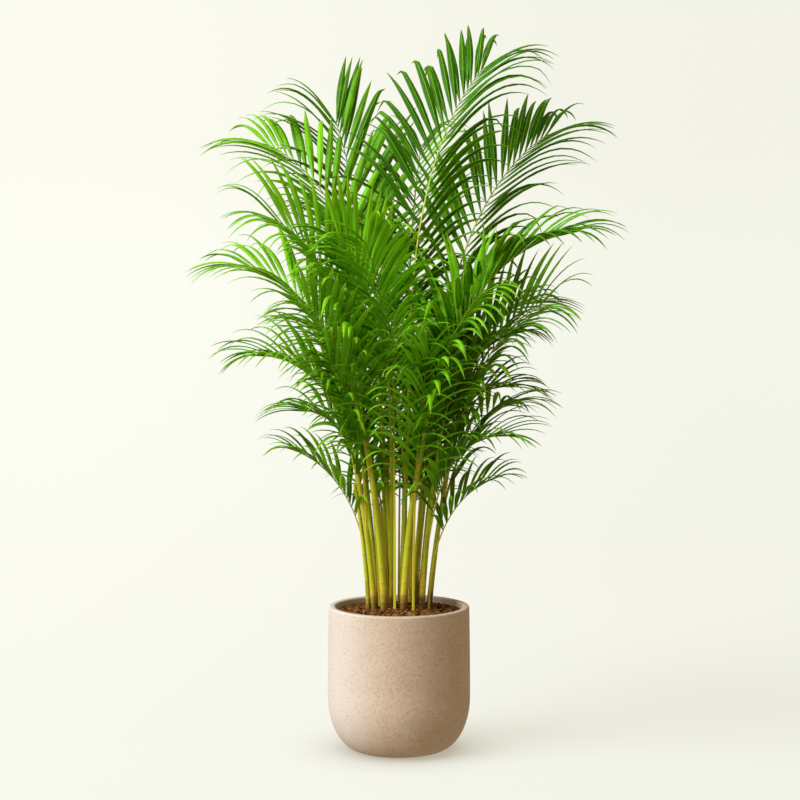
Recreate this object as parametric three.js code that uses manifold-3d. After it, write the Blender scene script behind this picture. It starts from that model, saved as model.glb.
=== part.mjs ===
// An areca palm in a round cement planter: a clump of ringed canes in potting soil, with arching
// feather-shaped fronds that each stand in a socket of their cane.
// Millimetres, +Z up. The origin is the centre of the planter's flat foot.
import * as THREE from 'three';
import { mergeVertices } from 'three/addons/utils/BufferGeometryUtils.js';
import Module from 'manifold-3d';

const wasm = await Module();
wasm.setup();

const { degToRad, lerp, seededRandom, smoothstep } = THREE.MathUtils;
const UP = new THREE.Vector3(0, 0, 1);

// ---- Driving dimensions -----------------------------------------------------------------------

const CLEARANCE = 0.35; // between a piece and the socket it stands in

const POT = {
  height: 305,
  rimRadius: 148.5,
  bellyRadius: 150.5,
  footRadius: 84,
  heel: 112, // height at which the rounded bottom meets the wall
  heelSteps: [0, 0.03, 0.11, 0.26, 0.5, 1], // shares of that height where the bottom has a ring
  wall: 14,
  lip: 4, // rounding of the rim's two edges
  drains: 3,
  drainRadius: 6,
  drainCircle: 45,
  segments: 32,
};

const SOIL = {
  edgeHeight: POT.height - 13,
  moundHeight: POT.height - 3,
  moundCentre: new THREE.Vector2(0, 18),
  moundRadius: 105,
  lump: 2.2, // rise of the crumbs above the even surface
  rings: [0.88, 0.62, 0.32], // shares of the soil's radius where its top has a ring
};

// Canes have ringed leaf scars, at these heights in foot radii above the soil.
const CANE = { sides: 8, sink: 55, taper: 0.3, gather: 1, scars: [4, 11], scarRise: 0.9, scarBand: 3 };

// One row for each cane: its foot in the soil, the compass side it leans to (0 is +X, 90 is +Y),
// its lean from upright at the foot and at the crown, its length above the soil and its foot radius.
const CANES = {
  left_edge: { foot: [-63, 6], side: 183, lean: [1, 10], length: 265, radius: 5.2 },
  left_outer: { foot: [-50, -8], side: 188, lean: [2, 12], length: 330, radius: 6.6 },
  left_front: { foot: [-30, -19], side: 200, lean: [1, 12], length: 410, radius: 8 },
  middle_left: { foot: [-12, 30], side: 160, lean: [1, 6], length: 390, radius: 6.4 },
  centre: { foot: [-15, 5], side: 265, lean: [0, 4], length: 360, radius: 5.8 },
  middle: { foot: [4, 6], side: 25, lean: [1, 4], length: 390, radius: 5.8 },
  right_front: { foot: [9, -24], side: -12, lean: [0, 12], length: 350, radius: 8.4 },
  right_outer: { foot: [45, -8], side: -8, lean: [2, 9], length: 300, radius: 7 },
  middle_right: { foot: [29, 26], side: 30, lean: [4, 9], length: 370, radius: 6.8 },
  right_edge: { foot: [60, 26], side: 12, lean: [4, 11], length: 300, radius: 6.4 },
  back_left: { foot: [-42, 40], side: 150, lean: [4, 9], length: 340, radius: 6.4 },
  back_left_inner: { foot: [-22, 66], side: 115, lean: [3, 8], length: 400, radius: 6.8 },
  back_middle: { foot: [10, 60], side: 85, lean: [3, 8], length: 410, radius: 6.8 },
  back_right: { foot: [42, 62], side: 45, lean: [5, 11], length: 340, radius: 6.4 },
};

const STALK = { sink: 34, width: 6.4, tipWidth: 1.7, depth: 0.75, gather: 2, petioleSteps: 4 };

// One row for each frond: the cane it grows from and how far up it (1 is the crown), or its foot
// in the soil; the compass side it arches to, its lean from upright at the foot and at the tip,
// its twist (0 has its face up), its length, the share of that length that is bare stalk, its
// longest leaflet and its pairs.
const FRONDS = {
  left_top: { cane: 'back_middle', at: 0.72, side: 130, lean: [12, 26], turn: -22,
    length: 790, bare: 0.3, leaf: 270, pairs: 12 },
  left_upper: { cane: 'middle_left', at: 1, side: 150, lean: [4, 68], turn: -28,
    length: 705, bare: 0.25, leaf: 245, pairs: 12 },
  left_bright: { cane: 'left_front', at: 1, side: 205, lean: [6, 61], turn: -50,
    length: 470, bare: 0.2, leaf: 230, pairs: 11 },
  left_middle: { cane: 'back_left', at: 1, side: 165, lean: [10, 76], turn: -22,
    length: 485, bare: 0.2, leaf: 220, pairs: 11 },
  left_back: { cane: 'back_left_inner', at: 0.7, side: 140, lean: [12, 66], turn: -20,
    length: 390, bare: 0.25, leaf: 200, pairs: 9 },
  left_lower: { cane: 'left_outer', at: 0.85, side: 195, lean: [10, 82], turn: -16,
    length: 340, bare: 0.2, leaf: 205, pairs: 9 },
  left_side: { cane: 'left_edge', at: 1, side: 170, lean: [2, 84], turn: -16,
    length: 200, bare: 0.15, leaf: 185, pairs: 7 },
  left_low: { foot: [-62, 26], side: 190, lean: [0, 66], turn: -14,
    length: 390, bare: 0.56, leaf: 150, pairs: 6 },
  right_top: { cane: 'middle', at: 1, side: 45, lean: [0, 49], turn: 20,
    length: 820, bare: 0.3, leaf: 265, pairs: 14 },
  right_upper: { cane: 'middle_right', at: 1, side: 30, lean: [6, 60], turn: 28,
    length: 735, bare: 0.25, leaf: 250, pairs: 13 },
  right_middle: { cane: 'right_front', at: 1, side: -25, lean: [12, 77], turn: 16,
    length: 560, bare: 0.25, leaf: 235, pairs: 11 },
  right_inner: { cane: 'back_right', at: 1, side: 20, lean: [8, 80], turn: 22,
    length: 395, bare: 0.2, leaf: 210, pairs: 10 },
  right_lower: { cane: 'right_outer', at: 1, side: -15, lean: [6, 68], turn: 24,
    length: 335, bare: 0.2, leaf: 200, pairs: 9 },
  right_side: { cane: 'middle_right', at: 0.68, side: 5, lean: [8, 86], turn: 18,
    length: 290, bare: 0.3, leaf: 190, pairs: 8 },
  right_under: { cane: 'right_outer', at: 0.6, side: -20, lean: [10, 82], turn: 18,
    length: 255, bare: 0.2, leaf: 185, pairs: 8 },
  right_low: { foot: [62, -2], side: -10, lean: [0, 68], turn: 14,
    length: 330, bare: 0.58, leaf: 135, pairs: 6 },
  front_left: { cane: 'middle', at: 0.78, side: 205, lean: [6, 38], turn: -100,
    length: 500, bare: 0.44, leaf: 215, pairs: 9 },
  front_right: { cane: 'right_front', at: 0.72, side: 318, lean: [9, 50], turn: 70,
    length: 470, bare: 0.44, leaf: 205, pairs: 9 },
  front_centre: { cane: 'centre', at: 1, side: 245, lean: [3, 40], turn: -150,
    length: 430, bare: 0.42, leaf: 210, pairs: 9 },
  front_low: { cane: 'left_front', at: 0.7, side: 225, lean: [12, 52], turn: -115,
    length: 400, bare: 0.42, leaf: 180, pairs: 8 },
  front_high: { cane: 'middle_left', at: 0.75, side: 120, lean: [9, 32], turn: -25,
    length: 480, bare: 0.42, leaf: 220, pairs: 10 },
  front_outer: { cane: 'right_edge', at: 1, side: 330, lean: [14, 64], turn: 60,
    length: 420, bare: 0.25, leaf: 205, pairs: 9 },
  front_corner: { cane: 'left_outer', at: 0.5, side: 235, lean: [4, 48], turn: -120,
    length: 400, bare: 0.44, leaf: 175, pairs: 8 },
  back_left: { cane: 'back_left_inner', at: 1, side: 112, lean: [9, 75],
    length: 560, bare: 0.25, leaf: 215, pairs: 9 },
  back_high: { cane: 'back_middle', at: 1, side: 80, lean: [6, 45],
    length: 640, bare: 0.3, leaf: 225, pairs: 10 },
  back_centre: { cane: 'back_left', at: 0.74, side: 100, lean: [16, 85],
    length: 440, bare: 0.25, leaf: 205, pairs: 7 },
  back_right: { cane: 'back_right', at: 0.7, side: 62, lean: [18, 80],
    length: 450, bare: 0.25, leaf: 210, pairs: 8 },
  back_low: { cane: 'right_edge', at: 0.68, side: 45, lean: [18, 90],
    length: 330, bare: 0.25, leaf: 190, pairs: 7 },
  front_middle: { foot: [-9, -22], side: 265, lean: [0, 20], turn: 180,
    length: 600, bare: 0.55, leaf: 190, pairs: 9 },
  front_thin: { foot: [30, -36], side: 290, lean: [0, 26], turn: 170,
    length: 560, bare: 0.52, leaf: 180, pairs: 9 },
  back_inner: { foot: [26, 48], side: 95, lean: [0, 55],
    length: 700, bare: 0.42, leaf: 210, pairs: 8 },
  back_under: { cane: 'back_left_inner', at: 0.45, side: 80, lean: [8, 75],
    length: 450, bare: 0.3, leaf: 205, pairs: 8 },
};

// Leaflets, where t runs from the first pair (0) to the last (1) and v from a leaflet's root to
// its tip. Angles in degrees, and each is shaken a little so that no two leaflets are alike.
const LEAFLET = {
  root: 9, // width along the stalk
  width: 20,
  keel: 1.3, // thickness under the midrib
  sweep: [54, 22], // from the stalk's direction, at the first and the last pair
  lift: [34, 16], // above the frond's plane, so that the two rows form a trough
  steepest: 52, // the greatest lift, past which a blade would fold over the stalk
  droop: 1.2,
  stiff: 0.5, // droop of an upright leaflet, as a share of that of a lying one
  lying: [0.35, 0.65], // level part of the leaving direction, from upright to lying
  sections: [0.42, 0.76], // where the blade has a cross-section between root and tip
  steps: 12,
  margin: 0.8, // kept free round a leaflet
};
const SHAKE = { sweep: 4, lift: 5, length: 0.07, droop: 0.25 };

// How a leaflet that would cross another piece is bent clear: changes of sweep and lift in
// degrees and of length as a share, in the order in which they are tried.
const BENDS = [
  [0, 0, 1], [0, 8, 1], [0, -8, 1], [7, 0, 1], [-7, 0, 1], [7, 14, 1], [-7, -14, 1],
  [0, 20, 1], [0, -20, 1], [12, -12, 0.9], [-12, 12, 0.9], [14, 22, 0.8], [0, 0, 0.7],
  [8, -10, 0.6], [-8, 10, 0.6], [0, 0, 0.45],
];

const FINISH = {
  pot: { color: '#c9ad93', roughness: 0.9 },
  soil: { color: '#4a2f1e', roughness: 1 },
  cane: { color: '#b7b043', roughness: 0.5 },
  frond: { color: '#3f8a16', roughness: 0.5 },
};

// ---- Solids -----------------------------------------------------------------------------------

// A closed geometry as a solid that can be cut and joined.
function solidOf(geometry) {
  const bare = new THREE.BufferGeometry().setAttribute('position', geometry.getAttribute('position'));
  bare.setIndex(geometry.index);
  const merged = mergeVertices(bare, 1e-3);
  return new wasm.Manifold(new wasm.Mesh({
    numProp: 3,
    vertProperties: merged.attributes.position.array,
    triVerts: new Uint32Array(merged.index.array),
  }));
}

function geometryOf(solid) {
  const { vertProperties, triVerts } = solid.getMesh();
  return new THREE.BufferGeometry()
    .setAttribute('position', new THREE.BufferAttribute(vertProperties, 3))
    .setIndex(new THREE.BufferAttribute(triVerts, 1));
}

const largest = (solid) => solid.decompose().reduce((a, b) => (b.volume() > a.volume() ? b : a));

// Points and outward faces, gathered ring by ring.
class Skin {
  points = [];
  faces = [];

  // Adds points and returns their numbers.
  ring(points) {
    const first = this.points.length;
    this.points.push(...points);
    return points.map((_, i) => first + i);
  }

  face(a, b, c, turned = false) {
    this.faces.push(a, ...(turned ? [c, b] : [b, c]));
  }

  // The band between two rings, which run counterclockwise seen from the far one, or clockwise if
  // turned. Each four-sided patch folds outwards, so that the two faces of a thin blade can't meet.
  band(near, far, turned = false) {
    near.forEach((a, i) => {
      const j = (i + 1) % near.length;
      const [b, c, d] = [near[j], far[j], far[i]];
      if (this.rises(a, b, c, d) === turned) {
        this.face(a, b, c, turned);
        this.face(a, c, d, turned);
      } else {
        this.face(a, b, d, turned);
        this.face(b, c, d, turned);
      }
    });
  }

  // True if point d is on the side of triangle a, b, c that its normal points to.
  rises(a, b, c, d) {
    const [pa, pb, pc, pd] = [a, b, c, d].map((i) => this.points[i]);
    return new THREE.Plane().setFromCoplanarPoints(pa, pb, pc).distanceToPoint(pd) > 0;
  }

  // Closes a ring with a fan of faces, facing the way the tube runs, or back if turned.
  cap(ring, turned = false) {
    for (let i = 1; i < ring.length - 1; i++) this.face(ring[0], ring[i], ring[i + 1], turned);
  }

  geometry() {
    return new THREE.BufferGeometry().setFromPoints(this.points).setIndex(this.faces);
  }
}

// ---- Stalks -----------------------------------------------------------------------------------

// A centre line that leaves `start` leaning lean[0] from upright towards the compass side `side`
// and ends leaning lean[1]. The bend is gathered towards the tip by the power `gather`, and the
// stalk is twisted by `turn` degrees about its own line.
class Arch extends THREE.Curve {
  constructor(start, { side, lean, length, turn = 0 }, gather) {
    super();
    const toSide = new THREE.Vector3(1, 0, 0).applyAxisAngle(UP, degToRad(side));
    Object.assign(this, { start, toSide, lean, length, turn, gather });
  }

  // The unit vector at a lean of this many degrees from upright.
  leaning(degrees) {
    const angle = degToRad(degrees);
    return UP.clone().multiplyScalar(Math.cos(angle)).addScaledVector(this.toSide, Math.sin(angle));
  }

  leanAt(u) {
    return lerp(...this.lean, u ** this.gather);
  }

  getPoint(u) {
    const steps = 40;
    const point = this.start.clone();
    for (let i = 0; i < steps; i++) {
      const middle = (u * (i + 0.5)) / steps;
      point.addScaledVector(this.leaning(this.leanAt(middle)), (this.length * u) / steps);
    }
    return point;
  }

  // Along the stalk, its upper face's normal and its right-hand flank.
  frame(u) {
    const along = this.leaning(this.leanAt(u));
    const face = this.leaning(this.leanAt(u) - 90).applyAxisAngle(along, degToRad(this.turn));
    return { point: this.getPoint(u), along, face, flank: along.clone().cross(face) };
  }
}

// A tube with a ring of points at each place in `places`.
function tube(places, ringAt) {
  const skin = new Skin();
  const rings = places.map((u) => skin.ring(ringAt(u)));
  for (let i = 1; i < rings.length; i++) skin.band(rings[i - 1], rings[i]);
  skin.cap(rings[0], true);
  skin.cap(rings.at(-1));
  return skin.geometry();
}

// ---- Canes ------------------------------------------------------------------------------------

function moundHeight(x, y) {
  const fromCentre = Math.hypot(x - SOIL.moundCentre.x, y - SOIL.moundCentre.y) / SOIL.moundRadius;
  const rise = Math.max(0, 1 - fromCentre ** 2);
  const crumbs = Math.sin(x / 9) * Math.cos(y / 7) + Math.sin((x + 2 * y) / 13);
  return lerp(SOIL.edgeHeight, SOIL.moundHeight, rise) + SOIL.lump * crumbs * 0.5;
}

function caneArch({ foot: [x, y], length, ...row }) {
  const start = new THREE.Vector3(x, y, moundHeight(x, y) - CANE.sink);
  return new Arch(start, { ...row, length: length + CANE.sink }, CANE.gather);
}

// The cane as a tapered tube with leaf scars near the foot, or the hole for it if spare > 0.
function caneGeometry(row, spare = 0) {
  const arch = caneArch(row);
  const rises = new Map([0, 0.4, 0.7, 1].map((u) => [u, 0]));
  for (const radii of CANE.scars) {
    const height = CANE.sink + row.radius * radii;
    rises.set((height - CANE.scarBand) / arch.length, 0).set(height / arch.length, CANE.scarRise);
  }
  const places = [...rises.keys()].sort((a, b) => a - b);
  return tube(places, (u) => {
    const { point, face, flank } = arch.frame(u);
    const radius = row.radius * (1 - CANE.taper * u) + rises.get(u) + spare;
    return Array.from({ length: CANE.sides }, (_, i) => {
      const angle = (-2 * Math.PI * i) / CANE.sides;
      return point.clone().addScaledVector(flank, radius * Math.cos(angle))
        .addScaledVector(face, radius * Math.sin(angle));
    });
  });
}

// ---- Fronds -----------------------------------------------------------------------------------

// A frond's stalk starts inside its cane, towards the side it arches to, or in the soil.
function stalkArch(frond) {
  const sink = frond.foot ? CANE.sink : STALK.sink;
  const arch = new Arch(new THREE.Vector3(), { ...frond, length: frond.length + sink }, STALK.gather);
  if (frond.foot) {
    const [x, y] = frond.foot;
    arch.start.set(x, y, moundHeight(x, y) - sink);
  } else {
    const row = CANES[frond.cane];
    const cane = caneArch(row);
    const height = lerp(CANE.sink, cane.length, frond.at) - sink;
    arch.start.copy(cane.getPoint(height / cane.length));
    if (frond.at < 1) arch.start.addScaledVector(arch.toSide, row.radius * 0.4);
  }
  return arch;
}

// The stalk's section at u: left, right and keel, with a flat upper face.
function stalkRing(frond, arch, u, spare = 0) {
  const { point, face, flank } = arch.frame(u);
  const base = frond.foot ? STALK.width : Math.min(STALK.width, CANES[frond.cane].radius);
  const half = lerp(base, STALK.tipWidth, u) / 2 + 2 * spare;
  const depth = half * 2 * STALK.depth;
  const top = point.clone().addScaledVector(face, depth / 3 + spare / 2);
  return [
    top.clone().addScaledVector(flank, -half),
    top.clone().addScaledVector(flank, half),
    point.clone().addScaledVector(face, -depth * 0.67 - spare),
  ];
}

// The leaflet pairs' places: u where each root starts and ends, and t from first to last pair.
function pairPlaces(frond, arch) {
  const first = frond.bare;
  const last = 1 - LEAFLET.root / arch.length;
  return Array.from({ length: frond.pairs }, (_, i) => {
    const t = i / (frond.pairs - 1);
    const start = lerp(first, last, 1 - (1 - t) ** 1.25);
    return { t, start, end: i === frond.pairs - 1 ? 1 : start + LEAFLET.root / arch.length };
  });
}

// How one leaflet grows: angles, length, width and droop, shaken by the random draw.
function leafletHabit(frond, t, random) {
  const shaken = (share) => 1 + share * (2 * random() - 1);
  return {
    sweep: lerp(...LEAFLET.sweep, t) + SHAKE.sweep * (2 * random() - 1),
    lift: lerp(...LEAFLET.lift, t) + SHAKE.lift * (2 * random() - 1),
    length: frond.leaf * Math.sin(Math.PI * (0.34 + 0.44 * t)) * shaken(SHAKE.length),
    width: LEAFLET.width * (1 - 0.35 * t) * (frond.leaf / 235),
    droop: LEAFLET.droop * shaken(SHAKE.droop),
  };
}

// The leaflet's cross-sections and tip. It leaves the stalk at the sweep and lift angles, then
// bends by droop * v^2. One that leaves upright keeps its width in the frond's wing and bends away
// from it, and one that leaves lying (1) has its width level and hangs down.
function leafletShape(frame, hand, habit, margin = 0) {
  const { along, face, flank } = frame;
  const sweep = degToRad(habit.sweep);
  const lift = degToRad(habit.lift);
  const wing = flank.clone().multiplyScalar(hand * Math.cos(lift)).addScaledVector(face, Math.sin(lift));
  const leaving = along.clone().multiplyScalar(Math.cos(sweep)).addScaledVector(wing, Math.sin(sweep));
  const lying = smoothstep(Math.hypot(leaving.x, leaving.y), ...LEAFLET.lying);
  const flat = along.clone().addScaledVector(leaving, -along.dot(leaving)).normalize();
  const level = leaving.clone().cross(UP).normalize();
  if (level.dot(flat) < 0) level.negate();
  const down = flat.clone().cross(leaving);
  if (down.z > 0) down.negate();
  down.lerp(UP.clone().negate(), lying).multiplyScalar(habit.droop * lerp(LEAFLET.stiff, 1, lying));
  flat.lerp(level, lying);
  const directionAt = (v) => leaving.clone().addScaledVector(down, v * v).normalize();
  const point = frame.point.clone();
  const sections = [];
  let done = 0;
  for (let i = 1; i <= LEAFLET.steps; i++) {
    const v = i / LEAFLET.steps;
    point.addScaledVector(directionAt(v - 0.5 / LEAFLET.steps), habit.length / LEAFLET.steps);
    if (done < LEAFLET.sections.length && v >= LEAFLET.sections[done] - 0.04) {
      const direction = directionAt(v);
      const across = flat.clone().addScaledVector(direction, -flat.dot(direction)).normalize();
      const under = across.clone().cross(direction).multiplyScalar(hand);
      const half = (habit.width / 2) * (done === 0 ? 1 : 0.62) + margin;
      sections.push([
        point.clone().addScaledVector(across, half).addScaledVector(under, -margin),
        point.clone().addScaledVector(across, -half).addScaledVector(under, -margin),
        point.clone().addScaledVector(under, LEAFLET.keel + margin),
      ]);
      done++;
    }
  }
  return { sections, tip: point };
}

// Grows a leaflet out of a triangle of the stalk: front, back and keel.
function addLeaflet(skin, root, { sections, tip }, turned) {
  let near = root;
  for (const section of sections) {
    const far = skin.ring(section);
    skin.band(near, far, turned);
    near = far;
  }
  const [point] = skin.ring([tip]);
  near.forEach((a, i) => skin.face(a, near[(i + 1) % 3], point, turned));
}

// Everything that already stands in the plant, so that a leaflet can be bent clear of it.
class Standing {
  pieces = [];

  add(solid, owner) {
    const { min, max } = solid.boundingBox();
    this.pieces.push({ solid, owner, min, max });
  }

  // True if the solid touches nothing but pieces of the owners it may touch.
  clears(solid, ...owners) {
    const { min, max } = solid.boundingBox();
    return this.pieces.every((p) => owners.includes(p.owner)
      || [0, 1, 2].some((i) => p.max[i] < min[i] || p.min[i] > max[i])
      || solid.intersect(p.solid).isEmpty());
  }
}

// A leaflet alone as a closed solid, from the ring of points `root` to its tip.
function leafletSolid(root, shape, turned) {
  const skin = new Skin();
  const ring = skin.ring(root);
  skin.cap(ring, !turned);
  addLeaflet(skin, ring, shape, turned);
  return solidOf(skin.geometry());
}

// Bends a leaflet until it stands clear, and returns its shape, or null if there is no room. Only
// near its root may it touch its own stalk and its partner, which grows from the other flank.
function bentClear(frame, root, hand, habit, standing, stalk, pair) {
  for (const [sweep, lift, share] of BENDS) {
    const bent = {
      ...habit,
      sweep: habit.sweep + sweep,
      lift: Math.min(habit.lift + lift, LEAFLET.steepest),
      length: habit.length * share,
    };
    const wide = leafletShape(frame, hand, bent, LEAFLET.margin);
    const whole = leafletSolid(root, wide, hand < 0);
    const [first, ...others] = wide.sections;
    const blade = leafletSolid(first, { sections: others, tip: wide.tip }, hand < 0);
    if (standing.clears(whole, stalk, pair) && standing.clears(blade)) {
      standing.add(whole, pair);
      return leafletShape(frame, hand, bent);
    }
  }
  return null;
}

// A whole frond as one closed skin: the stalk, with leaflets grown out of its two flanks.
function frondGeometry(name, frond, standing, random) {
  const arch = stalkArch(frond);
  const skin = new Skin();
  const ringAt = (u) => stalkRing(frond, arch, u);
  const steps = STALK.petioleSteps;
  let near = skin.ring(ringAt(0));
  skin.cap(near, true);
  for (let i = 1; i < steps; i++) {
    const far = skin.ring(ringAt((frond.bare * i) / steps));
    skin.band(near, far);
    near = far;
  }
  for (const { t, start, end } of pairPlaces(frond, arch)) {
    const back = skin.ring(ringAt(start));
    skin.band(near, back);
    const front = skin.ring(ringAt(end));
    const [backLeft, backRight, backKeel] = back;
    const [frontLeft, frontRight, frontKeel] = front;
    skin.face(backLeft, backRight, frontRight);
    skin.face(backLeft, frontRight, frontLeft);
    skin.face(backKeel, frontKeel, frontRight);
    skin.face(backKeel, frontLeft, frontKeel);
    const frame = arch.frame((start + end) / 2);
    for (const [hand, a, b] of [[1, frontRight, backRight], [-1, frontLeft, backLeft]]) {
      const root = [a, b, backKeel];
      const rootPoints = root.map((i) => skin.points[i]);
      const habit = leafletHabit(frond, t, random);
      const shape = bentClear(frame, rootPoints, hand, habit, standing, name, `${name} ${t}`);
      if (shape) addLeaflet(skin, root, shape, hand < 0);
      else skin.face(a, b, backKeel, hand < 0);
    }
    near = front;
  }
  skin.cap(near);
  return skin.geometry();
}

// The stalk alone in short lengths, which fit their boxes closely, for the leaflets to keep clear of.
function addStalk(standing, name, frond) {
  const arch = stalkArch(frond);
  const lengths = 8;
  for (let i = 0; i < lengths; i++) {
    const places = [i / lengths, (i + 1) / lengths];
    standing.add(solidOf(tube(places, (u) => stalkRing(frond, arch, u, CLEARANCE))), name);
  }
}

// The hole that the foot of a frond stands in.
function socketOf(frond) {
  const arch = stalkArch(frond);
  const length = 90 / arch.length;
  const places = [-CLEARANCE / arch.length, length / 2, length];
  return solidOf(tube(places, (u) => stalkRing(frond, arch, u, CLEARANCE)));
}

// ---- Planter and soil ---------------------------------------------------------------------------

// Radius at height z of a cup whose rounded bottom is a quarter of an ellipse up to `heel`.
function cupRadius(z, { foot, belly, rim, heel, height }) {
  if (z < heel) return foot + (belly - foot) * Math.sqrt(1 - (1 - z / heel) ** 2);
  return belly - (belly - rim) * ((z - heel) / (height - heel)) ** 2;
}

const outside = {
  foot: POT.footRadius, belly: POT.bellyRadius, rim: POT.rimRadius, heel: POT.heel, height: POT.height,
};
const inside = {
  foot: POT.footRadius - POT.wall / 2,
  belly: POT.bellyRadius - POT.wall,
  rim: POT.rimRadius - POT.wall,
  heel: POT.heel - POT.wall,
  height: POT.height - POT.wall,
};

// The bowl's inner face from the floor up to the soil's edge, or the soil's own if spare > 0.
function innerProfile(spare = 0) {
  const radius = (z) => cupRadius(z - POT.wall, inside) - spare;
  const profile = POT.heelSteps.map((s) => {
    const z = lerp(POT.wall, POT.heel, s);
    return [radius(z), z + spare * (1 - s)];
  });
  for (const z of [(POT.heel + POT.height) / 2, SOIL.edgeHeight]) profile.push([radius(z), z]);
  return profile;
}

function lathe(profile) {
  const points = profile.map(([radius, z]) => new THREE.Vector2(radius, z));
  return new THREE.LatheGeometry(points, POT.segments).rotateX(Math.PI / 2);
}

function potGeometry() {
  const { height, heel, wall, lip, rimRadius } = POT;
  const heights = [...POT.heelSteps.map((s) => s * heel), (heel + height) / 2, height - lip];
  const body = solidOf(lathe([
    [0, 0], ...heights.map((z) => [cupRadius(z, outside), z]),
    [rimRadius - lip * 0.3, height - lip * 0.3], [rimRadius - lip, height],
    [inside.rim + lip, height], [inside.rim + lip * 0.3, height - lip * 0.3], [inside.rim, height - lip],
    ...innerProfile().reverse(), [0, wall],
  ]));
  const drain = new THREE.CylinderGeometry(POT.drainRadius, POT.drainRadius, wall * 3, 12)
    .rotateX(Math.PI / 2).translate(POT.drainCircle, 0, 0);
  let pot = body;
  for (let i = 0; i < POT.drains; i++) {
    pot = pot.subtract(solidOf(drain.clone().rotateZ((2 * Math.PI * i) / POT.drains)));
  }
  return geometryOf(pot);
}

function soilGeometry() {
  const side = innerProfile(CLEARANCE);
  const [edge] = side.at(-1);
  const top = SOIL.rings.map((share) => [edge * share, POT.height]);
  const geometry = lathe([[0, POT.wall + CLEARANCE], ...side, ...top, [0, POT.height]]);
  const position = geometry.getAttribute('position');
  for (let i = 0; i < position.count; i++) {
    if (position.getZ(i) > SOIL.edgeHeight + 0.1) {
      position.setZ(i, moundHeight(position.getX(i), position.getY(i)));
    }
  }
  let soil = solidOf(geometry);
  for (const row of Object.values(CANES)) soil = soil.subtract(solidOf(caneGeometry(row, CLEARANCE)));
  for (const frond of Object.values(FRONDS)) if (frond.foot) soil = soil.subtract(socketOf(frond));
  return geometryOf(largest(soil));
}

// ---- The whole plant ----------------------------------------------------------------------------

function material({ color, roughness }) {
  return new THREE.MeshStandardMaterial({ color, roughness, metalness: 0 });
}

function addMesh(group, name, geometry, finish) {
  const mesh = new THREE.Mesh(geometry, finish);
  mesh.name = name;
  group.add(mesh);
}

function pottedPalm() {
  const palm = new THREE.Group();
  addMesh(palm, 'planter', potGeometry(), material(FINISH.pot));
  addMesh(palm, 'soil', soilGeometry(), material(FINISH.soil));

  const standing = new Standing();
  const canes = new Map(Object.entries(CANES).map(([name, row]) => [name, solidOf(caneGeometry(row))]));
  for (const [name, solid] of canes) standing.add(solid, name);
  for (const [name, frond] of Object.entries(FRONDS)) addStalk(standing, name, frond);

  const green = material(FINISH.frond);
  seededRandom(7);
  for (const [name, frond] of Object.entries(FRONDS)) {
    if (frond.cane) canes.set(frond.cane, canes.get(frond.cane).subtract(socketOf(frond)));
    addMesh(palm, `frond_${name}`, frondGeometry(name, frond, standing, seededRandom), green);
  }
  const yellow = material(FINISH.cane);
  for (const [name, solid] of canes) addMesh(palm, `cane_${name}`, geometryOf(largest(solid)), yellow);
  return palm;
}

export default pottedPalm();
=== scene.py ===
"""A potted areca palm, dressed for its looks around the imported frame.

Lengths are in metres and angles in degrees. +Z is up, and the origin is the centre of the
planter's foot. Every shape is a surface of two parameters: a profile turned about an axis,
or a section carried along an arching centre line, worked out as whole numpy arrays.
"""

import logging
import math
from collections.abc import Sequence
from dataclasses import dataclass, field
from enum import Enum

import bpy
import numpy as np
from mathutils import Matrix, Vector


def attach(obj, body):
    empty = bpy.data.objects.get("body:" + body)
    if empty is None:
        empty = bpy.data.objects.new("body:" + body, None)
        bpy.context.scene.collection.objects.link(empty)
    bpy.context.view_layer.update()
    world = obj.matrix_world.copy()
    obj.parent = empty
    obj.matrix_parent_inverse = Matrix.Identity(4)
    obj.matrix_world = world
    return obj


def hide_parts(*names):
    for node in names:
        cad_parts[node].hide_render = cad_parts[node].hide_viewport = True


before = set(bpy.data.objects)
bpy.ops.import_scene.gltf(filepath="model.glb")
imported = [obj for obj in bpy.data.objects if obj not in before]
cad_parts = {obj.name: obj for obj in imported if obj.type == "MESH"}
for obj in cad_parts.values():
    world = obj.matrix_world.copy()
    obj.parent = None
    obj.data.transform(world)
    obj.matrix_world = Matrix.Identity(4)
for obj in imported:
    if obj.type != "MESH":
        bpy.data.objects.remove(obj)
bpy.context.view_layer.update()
BODY = "root"
SEED = 7
MM = 1e-3

Array = np.ndarray
Colour = tuple[float, float, float]
UP = np.array([0.0, 0.0, 1.0])
LOG = logging.getLogger("palm")


class Slot(Enum):
    """The material slots, by name."""

    CEMENT = "cement"
    SOIL = "soil"
    CANE = "cane"
    FROND = "frond"


# ---- Arithmetic on arrays -----------------------------------------------------------------------


def unit(vectors: Array) -> Array:
    """Each vector over its own length."""
    return vectors / np.linalg.norm(vectors, axis=-1, keepdims=True)


def dot(a: Array, b: Array) -> Array:
    """Inner products of matching vectors, kept as a last axis of one."""
    return (a * b).sum(-1, keepdims=True)


def mixed(a: float | Array, b: float | Array, share: float | Array) -> float | Array:
    """a where share is 0, b where it is 1, and the straight line between."""
    return a + (b - a) * share


def eased(x: Array, low: float, high: float) -> Array:
    """0 below low, 1 above high, and the S-curve 3s^2 - 2s^3 between."""
    s = np.clip((x - low) / (high - low), 0, 1)
    return s * s * (3 - 2 * s)


def turned(vectors: Array, axis: Array, angle: Array) -> Array:
    """Vectors turned about an axis that they are square to: v cos(angle) + axis x v sin(angle)."""
    radians = np.radians(angle)[..., None]
    return vectors * np.cos(radians) + np.cross(axis, vectors) * np.sin(radians)


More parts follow.
